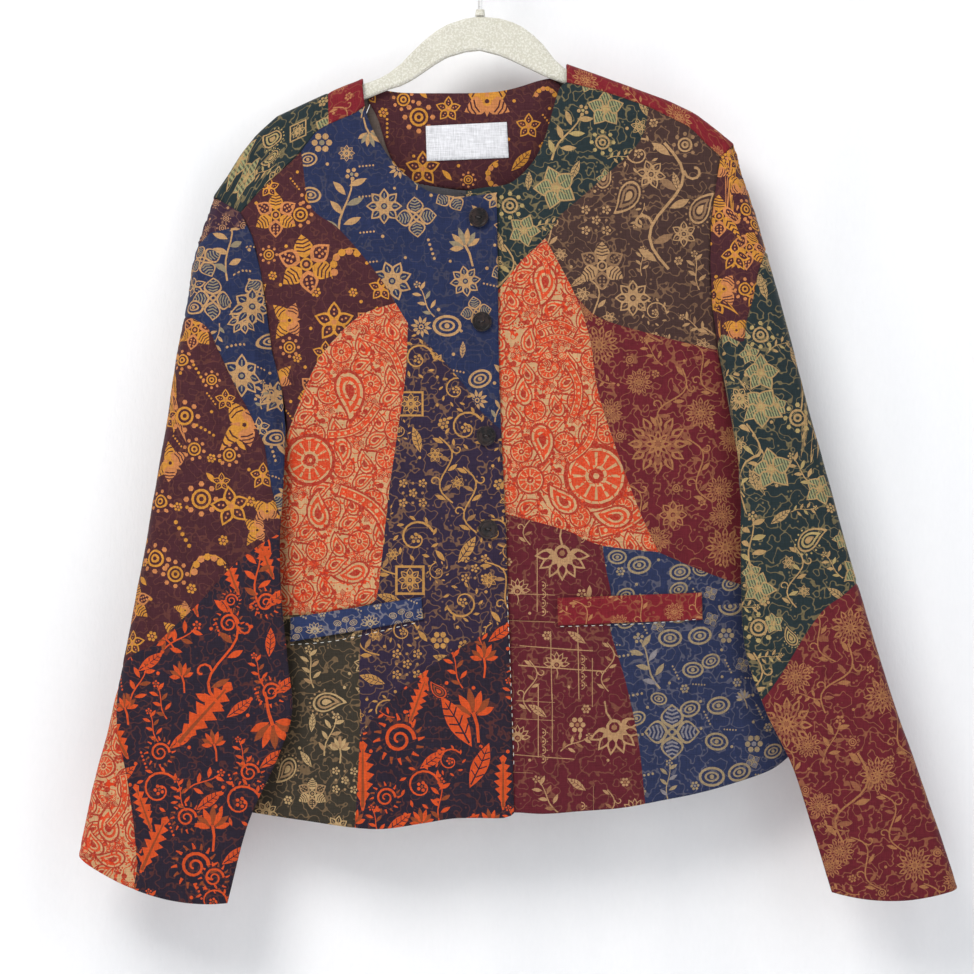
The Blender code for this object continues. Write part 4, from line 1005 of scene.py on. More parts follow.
# Each fabric repeats its figures on a tile: name, x, y, radius, turn. Colours are written sRGB.
fabrics = {
    "navyDaisy": {
        "ground": "1e284b", "a": "bf9462", "b": "938468", "c": "cfa773", "tile": (74, 66), "turn": 8,
        "figures": (
            ("lineDaisy", 14, 14, 13, 0), ("stripeFlower", 50, 20, 15, 20), ("sprig", 30, 42, 16, -30),
            ("dots", 64, 44, 10, 10), ("daisy", 10, 48, 9, 0), ("dots", 34, 8, 7, 70),
            ("star", 52, 54, 9, 0), ("plainLeaf", 68, 4, 6, 40), ("spot", 33, 22, 1.5, 0),
            ("spot", 26, 60, 1.5, 0), ("spot", 42, 40, 1.3, 0), ("spot", 4, 32, 1.3, 0)),
        "vineAmount": 0.1,
    },
    "plumGold": {
        "ground": "451d25", "a": "d08e34", "b": "cc834d", "c": "d59a5d", "tile": (68, 62),
        "turn": -12,
        "figures": (
            ("combFlower", 16, 16, 17, 0), ("butterfly", 50, 20, 15, 15), ("ringFlower", 46, 48, 10, 0),
            ("star", 16, 48, 11, 10), ("dotFlower", 32, 34, 4.5, 0), ("dotFlower", 62, 40, 4, 0),
            ("dots", 30, 56, 7, 50), ("spot", 34, 4, 1.5, 0), ("spot", 2, 34, 1.5, 0),
            ("spot", 64, 4, 1.4, 0), ("plainLeaf", 60, 56, 6, 60)),
        "vineAmount": 0.08,
    },
    "redPaisley": {
        "ground": "c69c70", "a": "a81c0e", "b": "d2380f", "c": "85180e", "tile": (36, 31), "turn": 12,
        "apart": 0.4,
        "figures": (
            ("paisley", 10, 9, 12, 20), ("sun", 29, 8, 9.5, 0), ("paisley", 25, 26, 12, -60),
            ("combFlower", 7, 27, 8, 0), ("peas", 37, 23, 8, 100), ("bar", 19, 16, 9, 70),
            ("spot", 18, 2, 2.2, 0), ("dotFlower", 16, 19, 4, 0), ("bar", 37, 32, 8, 20),
            ("spot", 2, 18, 2.4, 0), ("bar", 4, 2, 8, -40), ("dotFlower", 33, 17, 3.6, 0)),
        "vineAmount": 1,
    },
    "purpleVine": {
        "ground": "2b1e36", "a": "bf8c4a", "b": "a6794a", "c": "b38b5a", "tile": (62, 60), "turn": 15,
        "figures": (
            ("scroll", 16, 16, 12, 0), ("flowerVine", 44, 28, 22, 20), ("leaf", 12, 44, 11, 60),
            ("dotFlower", 30, 52, 5, 0), ("scroll", 56, 56, 8, 90), ("plainLeaf", 30, 8, 6, 30),
            ("spot", 28, 30, 1.4, 0), ("spot", 4, 30, 1.3, 0), ("spot", 60, 8, 1.4, 0)),
        "vineAmount": 0.4,
    },
    "oliveVine": {
        "ground": "352f25", "a": "c0a071", "b": "aa875f", "c": "877754", "tile": (60, 68),
        "turn": -10,
        "figures": (
            ("flowerVine", 16, 28, 24, 0), ("lineDaisy", 42, 16, 10, 0), ("sprig", 44, 48, 15, 160),
            ("leaf", 14, 60, 8, 70), ("dotFlower", 58, 30, 4, 0), ("spot", 30, 6, 1.4, 0),
            ("peas", 32, 38, 7, 30), ("spot", 58, 62, 1.4, 0)),
        "vineAmount": 0.35,
    },
    "orangeLeaf": {
        "ground": "221929", "a": "d8501a", "b": "96461f", "c": "bc5222", "tile": (56, 52), "turn": 0,
        "apart": 0.6,
        "figures": (
            ("fern", 16, 18, 13, 0), ("zigzagLeaf", 44, 20, 20, 20), ("burst", 18, 48, 14, 10),
            ("leaf", 54, 50, 13, -50), ("sprig", 36, 50, 14, 20), ("dots", 64, 30, 8, 20),
            ("spot", 32, 4, 1.6, 0), ("spot", 66, 8, 1.6, 0), ("spot", 4, 36, 1.6, 0)),
        "vineAmount": 0.22,
    },
    "tealFlower": {
        "ground": "1d2b2e", "a": "b59261", "b": "b29a64", "c": "98986c", "tile": (78, 72),
        "turn": -18,
        "figures": (
            ("blossom", 18, 18, 14, 0), ("flowerVine", 56, 30, 24, 15), ("lineDaisy", 22, 54, 10, 0),
            ("sprig", 38, 14, 11, -60), ("leaf", 42, 60, 9, 40), ("dotFlower", 6, 38, 4.5, 0),
            ("blossom", 72, 64, 9, 30), ("spot", 36, 38, 1.5, 0), ("spot", 4, 64, 1.5, 0)),
        "vineAmount": 0.35,
    },
    "brownVine": {
        "ground": "422c28", "a": "b68f64", "b": "947151", "c": "a3835d", "tile": (60, 58), "turn": 10,
        "figures": (
            ("flowerVine", 18, 28, 22, 10), ("paisley", 44, 18, 12, -20), ("sprig", 46, 44, 11, 40),
            ("leaf", 8, 52, 8, -60), ("dotFlower", 32, 54, 4, 0), ("spot", 34, 6, 1.3, 0)),
        "vineAmount": 0.5,
    },
    "burgundyVine": {
        "ground": "641622", "a": "a57046", "b": "925a3d", "c": "b27d50", "tile": (58, 56), "turn": 20,
        "figures": (
            ("dahlia", 16, 16, 11, 0), ("vine", 42, 24, 20, 10), ("sprig", 18, 42, 12, 60),
            ("ringFlower", 46, 50, 6, 0), ("dotFlower", 4, 32, 3.5, 0), ("spot", 30, 34, 1.3, 0)),
        "vineAmount": 0.8,
    },
    "maroonPlaid": {
        "ground": "5d1623", "a": "b68e64", "b": "986a49", "c": "b2865c", "tile": (64, 60), "turn": 0,
        "figures": (
            ("fan", 30, 26, 11, 0), ("vine", 8, 24, 16, 0), ("lace", 50, 20, 12, 0),
            ("dotFlower", 22, 50, 4, 0), ("leaf", 46, 48, 9, 60), ("spot", 40, 8, 1.3, 0)),
        "vineAmount": 0.35,
    },
    "navyRoundel": {
        "ground": "242d4e", "a": "9f8a68", "b": "888183", "c": "b29873", "tile": (44, 40), "turn": 6,
        "figures": (
            ("roundel", 12, 12, 8, 15), ("roundel", 32, 26, 7, -20), ("dots", 26, 6, 7, 20),
            ("dotFlower", 10, 32, 4, 0), ("stripeFlower", 38, 6, 6.5, 20), ("spot", 22, 20, 1.3, 0),
            ("spot", 42, 38, 1.3, 0), ("dots", 22, 34, 6, 80)),
        "vineAmount": 0.3,
    },
    "crimson": {
        "ground": "7b1723", "a": "b27a4d", "b": "975639", "c": "bb8355", "tile": (46, 44), "turn": 12,
        "figures": (
            ("dahlia", 12, 12, 8, 0), ("vine", 32, 20, 16, 20), ("sprig", 14, 34, 9, 50),
            ("dotFlower", 38, 40, 3.5, 0), ("spot", 24, 34, 1.2, 0)),
        "vineAmount": 0.6,
    },
    "plumRing": {
        "ground": "351d31", "a": "b2835d", "b": "9d7057", "c": "b2835d", "tile": (26, 24), "turn": 0,
        "figures": (("ringFlower", 8, 8, 5.5, 0), ("ringFlower", 21, 19, 4.5, 0), ("spot", 20, 6, 1.2, 0)),
        "vineAmount": 0.3,
    },
    "weltBlue": {
        "ground": "27345c", "a": "b29a76", "b": "a19894", "c": "bba076", "tile": (46, 30), "turn": 8,
        "figures": (
            ("pebbles", 14, 12, 11, 0), ("fan", 34, 10, 8, 0), ("dots", 24, 24, 6, 60),
            ("dotFlower", 42, 24, 3.5, 0)),
        "vineAmount": 0.4,
    },
    "lining": {"ground": "6a5c55", "vineAmount": 0},
    "neckLining": {
        "ground": "4c4a4e", "a": "2b2b30", "tile": (22, 12), "turn": 0,
        "figures": (("bar", 6, 6, 3.4, 60),), "vineAmount": 0,
    },
    "label": {"ground": "e6e6ea", "vineAmount": 0},
}


def stampedFigure(fabric, kind, x, y, size, turn, turnAt):
    # one figure at a flat place, as (colour or None for the ground, ribs, outline); "c" is a ribbed colour
    grid = turnAt(x, y) if turnAt else None
    made = []
    for key, shape in shapes[kind]:
        outline = turned(shape, turn, 0.0, 0.0, size)
        if grid is not None:
            outline = outline @ grid.T
        made.append((None if key == "g" else linear(fabric[key]), float(key == "c"), outline + (x, y)))
    return made


def patchFigures(fabricName, placed, rim, turnAt):
    fabric = fabrics[fabricName]
    low, high = rim[:, :2].min(0), rim[:, :2].max(0)
    spots = []
    if "tile" in fabric:
        wide, tall = fabric["tile"]
        spread = (1.32, 1.0) if turnAt else (1.0, 1.0)      # a sleeve's cut is narrower than it's numbered
        middle = (low + high) / 2
        reach = float(np.hypot(*(high - low))) / 2 + max(wide, tall)
        columns, rows = int(reach / wide) + 1, int(reach / tall) + 1
        for row in range(-rows, rows + 1):
            for column in range(-columns, columns + 1):
                for kind, x, y, size, turn in fabric["figures"]:
                    cell = np.array([[(column + 0.5 * (row % 2)) * wide + x - wide / 2,
                                      row * tall + y - tall / 2]])
                    spots.append((kind, *(turned(cell, fabric["turn"])[0] * spread + middle), size,
                                  turn + fabric["turn"]))
    centres = np.array([[spot[1], spot[2]] for spot in spots]).reshape(-1, 2)
    kept = []
    if len(spots):
        near = within(centres, rim) | (awayFrom(centres, rim) < [spot[3] for spot in spots])
        for spot, ok in zip(spots, near):
            clear = all(math.hypot(spot[1] - x, spot[2] - y) > fabric.get("apart", 0.78) * (spot[3] + size)
                        for drawn, x, y, size, _ in placed if drawn not in ("thread", "swath"))
            if ok and clear:
                kept.append(spot)
    figures = []
    for kind, x, y, size, turn in kept + list(placed):
        figures += stampedFigure(fabric, kind, x, y, size, turn, turnAt)
    return figures


# Nodes
def link(tree, source, target):
    tree.links.new(source, target)


def math2(tree, operation, one, two=None, three=None, clamp=False):
    node = tree.nodes.new("ShaderNodeMath")
    node.operation = operation
    node.use_clamp = clamp
    for place, value in enumerate((one, two, three)):
        if value is None:
            continue
        if isinstance(value, (int, float)):
            node.inputs[place].default_value = value
        else:
            tree.links.new(value, node.inputs[place])
    return node.outputs[0]


def mixColour(tree, factor, one, two, blend="MIX"):
    node = tree.nodes.new("ShaderNodeMix")
    node.data_type = "RGBA"
    node.blend_type = blend
    for place, value in ((0, factor), (6, one), (7, two)):
        if isinstance(value, (int, float)):
            node.inputs[place].default_value = value
        elif isinstance(value, tuple):
            node.inputs[place].default_value = value
        else:
            tree.links.new(value, node.inputs[place])
    return node.outputs[2]


def noise(tree, vector, scale, detail=2.0, roughness=0.5):
    node = tree.nodes.new("ShaderNodeTexNoise")
    node.inputs["Scale"].default_value = scale
    node.inputs["Detail"].default_value = detail
    node.inputs["Roughness"].default_value = roughness
    tree.links.new(vector, node.inputs["Vector"])
    return node.outputs["Fac"]


def stretched(tree, vector, scale):
    node = tree.nodes.new("ShaderNodeMapping")
    node.inputs["Scale"].default_value = scale
    tree.links.new(vector, node.inputs["Vector"])
    return node.outputs["Vector"]


def ramp(tree, value, low, high):
    node = tree.nodes.new("ShaderNodeMapRange")
    node.interpolation_type = "SMOOTHSTEP"
    node.inputs["From Min"].default_value = low
    node.inputs["From Max"].default_value = high
    tree.links.new(value, node.inputs["Value"])
    return node.outputs["Result"]


def shaderGroup(name, inputs, outputs):
    tree = bpy.data.node_groups.new(name, "ShaderNodeTree")
    for label, kind, value in inputs:
        socket = tree.interface.new_socket(label, in_out="INPUT", socket_type="NodeSocket" + kind)
        if value is not None:
            socket.default_value = value
    for label, kind in outputs:
        tree.interface.new_socket(label, in_out="OUTPUT", socket_type="NodeSocket" + kind)
    return tree, tree.nodes.new("NodeGroupInput").outputs, tree.nodes.new("NodeGroupOutput").inputs


weave = {
    "thread": 118,  # threads to 100 mm of cloth
    "vineScale": 11,  # size of the fine woven ground figure
    "hatch": 44,  # ribs to 100 mm inside a ribbed figure
}


def makeWeave():
    # the look of a figured weave: threads, uneven yarn, a fine ground figure and ribbed petals, with painted
    # shade between the thread crossings
    tree, given, out = shaderGroup(
        "figuredWeave",
        (("Flat", "Vector", None), ("Ground", "Color", None), ("Fine", "Color", None),
         ("Figure", "Color", None), ("Mask", "Float", 0.0), ("Ribs", "Float", 0.0), ("Vines", "Float", 0.5)),
        (("Color", "Color"), ("Height", "Float"), ("Rough", "Float")))
    flat = given["Flat"]
    split = tree.nodes.new("ShaderNodeSeparateXYZ")
    link(tree, flat, split.inputs[0])
    u, v = split.outputs[0], split.outputs[1]
    turn = weave["thread"] * 2 * math.pi
    warp = math2(tree, "MULTIPLY_ADD", math2(tree, "SINE", math2(tree, "MULTIPLY", u, turn)), 0.5, 0.5)
    weft = math2(tree, "MULTIPLY_ADD", math2(tree, "SINE", math2(tree, "MULTIPLY", v, turn)), 0.5, 0.5)
    cells = math2(tree, "MULTIPLY", warp, weft)
    across = noise(tree, stretched(tree, flat, (9.0, 120.0, 1.0)), 1.0, 2.0, 0.7)
    down = noise(tree, stretched(tree, flat, (120.0, 9.0, 1.0)), 1.0, 2.0, 0.7)
    yarn = math2(tree, "ADD", across, down)
    mottled = noise(tree, flat, 6.0, 3.0, 0.6)
    speck = noise(tree, flat, 55.0, 1.0, 0.6)
    # thin lines where a smooth noise passes its middle value wander as woven tendrils do
    lines = noise(tree, flat, weave["vineScale"], 1.0, 0.4)
    near = math2(tree, "ABSOLUTE", math2(tree, "SUBTRACT", lines, 0.5))
    tendril = math2(tree, "SUBTRACT", 1.0, ramp(tree, near, 0.012, 0.03))
    small = tree.nodes.new("ShaderNodeTexVoronoi")
    small.inputs["Scale"].default_value = 17.0
    link(tree, flat, small.inputs["Vector"])
    berry = math2(tree, "SUBTRACT", 1.0, ramp(tree, small.outputs["Distance"], 0.12, 0.2))
    fine = math2(tree, "MAXIMUM", tendril, berry)
    bare = math2(tree, "SUBTRACT", 1.0, given["Mask"])
    fine = math2(tree, "MULTIPLY", math2(tree, "MULTIPLY", fine, given["Vines"]), bare)
    ground = mixColour(tree, fine, given["Ground"], given["Fine"])
    slant = math2(tree, "ADD", u, math2(tree, "MULTIPLY", v, 0.35))
    slant = math2(tree, "SINE", math2(tree, "MULTIPLY", slant, weave["hatch"] * 2 * math.pi))
    ribbed = math2(tree, "MULTIPLY", ramp(tree, slant, -0.25, 0.25), given["Ribs"])
    figure = mixColour(tree, math2(tree, "MULTIPLY", ribbed, 0.75), given["Figure"], given["Ground"])
    broken = math2(tree, "MULTIPLY", given["Mask"], ramp(tree, math2(tree, "ADD", speck, cells), 0.42, 0.62))
    broken = math2(tree, "MULTIPLY_ADD", broken, 0.3, math2(tree, "MULTIPLY", given["Mask"], 0.68))
    colour = mixColour(tree, broken, ground, figure)
    # the yarn's own tone: uneven yarn and mottling darken the colour
    light = math2(tree, "MULTIPLY_ADD", yarn, 0.7, 0.17)
    light = math2(tree, "MULTIPLY", light, math2(tree, "MULTIPLY_ADD", mottled, 0.4, 0.8))
    # painted shade: the colour is darker between the thread crossings and lighter on the raised crossings
    light = math2(tree, "MULTIPLY", light, math2(tree, "MULTIPLY_ADD", cells, 0.3, 0.9))
    shade = tree.nodes.new("ShaderNodeCombineColor")
    for place in range(3):
        link(tree, light, shade.inputs[place])
    link(tree, mixColour(tree, 1.0, colour, shade.outputs[0], "MULTIPLY"), out["Color"])
    high = math2(tree, "MULTIPLY_ADD", cells, 0.45, math2(tree, "MULTIPLY", yarn, 0.35))
    high = math2(tree, "ADD", high, math2(tree, "MULTIPLY", given["Mask"], 0.5))
    link(tree, math2(tree, "ADD", high, math2(tree, "MULTIPLY", fine, 0.3)), out["Height"])
    link(tree, math2(tree, "MULTIPLY_ADD", yarn, -0.15, 0.98), out["Rough"])
    return tree


weaveGroup = makeWeave()
clothMade = {}


def newMaterial(name, **sockets):
    material = bpy.data.materials.new(name)
    material.use_nodes = True
    shader = material.node_tree.nodes["Principled BSDF"]
    for label, value in sockets.items():
        shader.inputs[label].default_value = value
    return material, material.node_tree, shader


def addBump(tree, shader, height, strength, distance):
    bump = tree.nodes.new("ShaderNodeBump")
    bump.inputs["Strength"].default_value = strength
    bump.inputs["Distance"].default_value = distance
    link(tree, height, bump.inputs["Height"])
    link(tree, bump.outputs[0], shader.inputs["Normal"])


def tint(tree, shader, share, dark, pale):
    link(tree, mixColour(tree, share, (*dark, 1.0), (*pale, 1.0)), shader.inputs["Base Color"])


def objectPlace(tree):
    return tree.nodes.new("ShaderNodeTexCoord").outputs["Object"]


def clothMaterial(name):
    if name in clothMade:
        return clothMade[name]
    fabric = fabrics[name]
    material, tree, shader = newMaterial(name + "Cloth")
    shader.inputs["Sheen Weight"].default_value = fabric.get("sheen", 0.05)
    shader.inputs["Sheen Roughness"].default_value = 0.5
    shader.inputs["Specular IOR Level"].default_value = 0.25
    uv = tree.nodes.new("ShaderNodeUVMap")
    uv.uv_map = "flat"
    figure = tree.nodes.new("ShaderNodeAttribute")
    figure.attribute_name = "figure"
    ribs = tree.nodes.new("ShaderNodeAttribute")
    ribs.attribute_name = "ribs"
    group = tree.nodes.new("ShaderNodeGroup")
    group.node_tree = weaveGroup
    link(tree, uv.outputs[0], group.inputs["Flat"])
    link(tree, figure.outputs["Color"], group.inputs["Figure"])
    link(tree, figure.outputs["Alpha"], group.inputs["Mask"])
    link(tree, ribs.outputs["Fac"], group.inputs["Ribs"])
    group.inputs["Ground"].default_value = (*linear(fabric["ground"]), 1.0)
    group.inputs["Fine"].default_value = (*linear(fabric.get("b", fabric["ground"])), 1.0)
    group.inputs["Vines"].default_value = fabric["vineAmount"]
    link(tree, group.outputs["Color"], shader.inputs["Base Color"])
    link(tree, group.outputs["Rough"], shader.inputs["Roughness"])
    addBump(tree, shader, group.outputs["Height"], 0.35, 0.0005)
    clothMade[name] = material
    return material


def photoFigures(rows):
    return [(kind, *fromPhoto(px, py), size, turn) for kind, px, py, size, turn in rows]


def onInside(lift):
    def place(flat):
        points, ways = onBack(flat)
        return points - ways * lift, -ways
    return place


def showCloth(nodes):
    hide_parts(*nodes)


shoulderLeft = (
    (-197.6, -231.2), (-182, -214), (-166.5, -199.3), (-150.1, -183.7), (-134.5, -164),
    (-118.9, -155.8), (-103.3, -149.2), (-95.1, -143.5))
shoulderRight = (
    (71.3, -123.8), (98.4, -130.4), (118.9, -137), (139.4, -144.3), (172.2, -160.7), (188, -176),
    (198.4, -185.3))

leftFront = {
    "neck": (
        (-95.1, -143.5), (-91.8, -155), (-85.3, -168.9), (-75.4, -185.3), (-63.1, -199.3),
        (-43.5, -214), (-27.1, -218.1), (-10.7, -218.9), (13.9, -215.7)),
    "edge": ((13.9, -215.7), (14.8, -296), (16.4, -386.2), (22.1, -517.4), (27.9, -724.1)),
    "hem": (
        (27.9, -724.1), (19, -728.2), (-18, -728.2), (-42.6, -732.3), (-75.4, -737.2),
        (-104.1, -736.4), (-146.8, -731.4), (-187, -726.5), (-198.4, -724.5)),
    "seams": (
        (
            (-147.6, -181), (-139.4, -226.3), (-114.8, -246.8), (-82, -286.2), (-57.4, -325.5),
            (-32.8, -351), (-10.7, -377.2), (-2.5, -392), (17, -411)),
        (
            (-69.7, -306.7), (-94.3, -314.9), (-112.3, -328.8), (-132.8, -353.4), (-147.6, -386.2),
            (-157, -409), (-166.5, -428.9)),
        (
            (-59, -323), (-61.5, -369.8), (-69.7, -427.2), (-75.4, -468.2), (-83.6, -542),
            (-88.6, -552.7)),
        ((-88.6, -552.7), (-114.8, -560), (-157.4, -563.3), (-192, -566)),
        ((-88.6, -552.7), (-98.4, -587.1), (-98.4, -660.9), (-102.5, -736.4)),
        ((-98.4, -662), (-77.9, -636.3), (-32.8, -599.4), (16.4, -570.7), (24, -566))),
    "patches": {
        "navyDaisy": ((-50, -260), (
            ("lineDaisy", 384, 206, 15, 0), ("lineDaisy", 392, 281, 17, 20),
            ("stripeFlower", 416, 217, 17, 5), ("burst", 466, 248, 18, 20), ("roundel", 307, 158, 8, 10),
            ("roundel", 310, 194, 9, -10), ("sprig", 345, 205, 30, -8), ("dotFlower", 321, 141, 9, 0),
            ("lineDaisy", 346, 152, 7, 0), ("burst", 368, 130, 14, 200), ("roundel", 447, 326, 12, 0),
            ("stripeFlower", 476, 312, 13, 10), ("roundel", 480, 379, 10, 20), ("dots", 366, 165, 7, 95),
            ("dots", 366, 196, 7, 95), ("dots", 367, 232, 7, 95), ("dots", 370, 262, 7, 95),
            ("sprig", 425, 300, 16, 30), ("leaf", 462, 350, 7, 0))),
        "plumGold": ((-140, -300), (
            ("combFlower", 275, 214, 19, 0), ("combFlower", 306, 264, 25, 10),
            ("butterfly", 289, 320, 19, 95), ("ringFlower", 289, 347, 9, 0), ("star", 334, 322, 17, 0),
            ("ringFlower", 300, 214, 11, 0), ("peas", 345, 262, 16, 40), ("star", 268, 186, 9, 0),
            ("ringFlower", 268, 254, 8, 0))),
        "redPaisley": ((-120, -450), (
            ("sun", 309, 460, 22, 0), ("paisley", 352, 396, 24, -160), ("paisley", 316, 510, 19, 20),
            ("swath", 386, 352, 22, 45), ("swath", 372, 515, 34, 42), ("paisley", 352, 575, 17, 120),
            ("combFlower", 372, 325, 11, 0), ("paisley", 390, 330, 12, 40), ("sun", 395, 430, 9, 0),
            ("paisley", 344, 452, 14, 200), ("swath", 355, 425, 24, -60))),
        "purpleVine": ((-40, -480), (
            ("scroll", 418, 359, 14, 0), ("squareFlower", 411, 404, 12, 0), ("scroll", 466, 428, 15, 30),
            ("trellis", 413, 493, 16, 0), ("scroll", 416, 538, 16, 20), ("squareFlower", 410, 580, 14, 0),
            ("trellis", 475, 568, 16, 0), ("trellis", 407, 664, 17, 0), ("scroll", 463, 602, 14, 200),
            ("leaf", 466, 549, 13, -30), ("leaf", 416, 440, 11, 20), ("flowerVine", 446, 470, 22, 10),
            ("dotFlower", 440, 640, 8, 0), ("vine", 470, 500, 22, 10))),
        "oliveVine": ((-140, -660), (
            ("sprig", 310, 668, 17, 10), ("paisley", 329, 701, 15, -70), ("leaf", 311, 723, 8, 0),
            ("sprig", 330, 735, 18, -15), ("combFlower", 312, 794, 13, 0), ("paisley", 286, 773, 13, 160),
            ("trellis", 345, 780, 15, 0), ("leaf", 305, 760, 8, 40), ("burst", 340, 750, 12, 0))),
        "orangeLeaf": ((-30, -680), (
            ("fern", 399, 739, 21, 0), ("zigzagLeaf", 363, 776, 28, 0), ("burst", 474, 716, 24, 10),
            ("leaf", 455, 722, 24, 35), ("scroll", 422, 786, 16, 0), ("scroll", 450, 760, 11, 40),
            ("zigzagLeaf", 418, 700, 20, -20), ("paisley", 437, 690, 9, 60), ("sprig", 456, 668, 17, 20),
            ("burst", 484, 660, 16, 0), ("zigzagLeaf", 503, 782, 22, 0), ("sprig", 440, 800, 18, 0),
            ("leaf", 478, 764, 20, -20), ("sprig", 381, 712, 12, 70))),
    },
    "nodes": (
        "front_left_navy_daisy", "front_left_plum_gold", "front_left_red_paisley",
        "front_left_purple_vine", "front_left_olive_vine", "front_left_orange_leaf"),
    "cut": (0.226, 0.594),
    "cloth": {
        "step": 4, "grid": 6, "reach": 23, "wall": 1.8, "seed": 11, "drape": 1.1, "groove": 1,
        "pucker": 0.5,
        "creases": (
            ((-178, -300), (-160, -610), 9, 1.4),
            ((-150, -560), (-118, -720), 10, 1.3),
            ((-60, -600), (-48, -722), 12, -1.2), ((-20, -520), (-14, -700), 9, 1),
            ((-130, -210), (-60, -300), 10, 0.8)),
    },
}
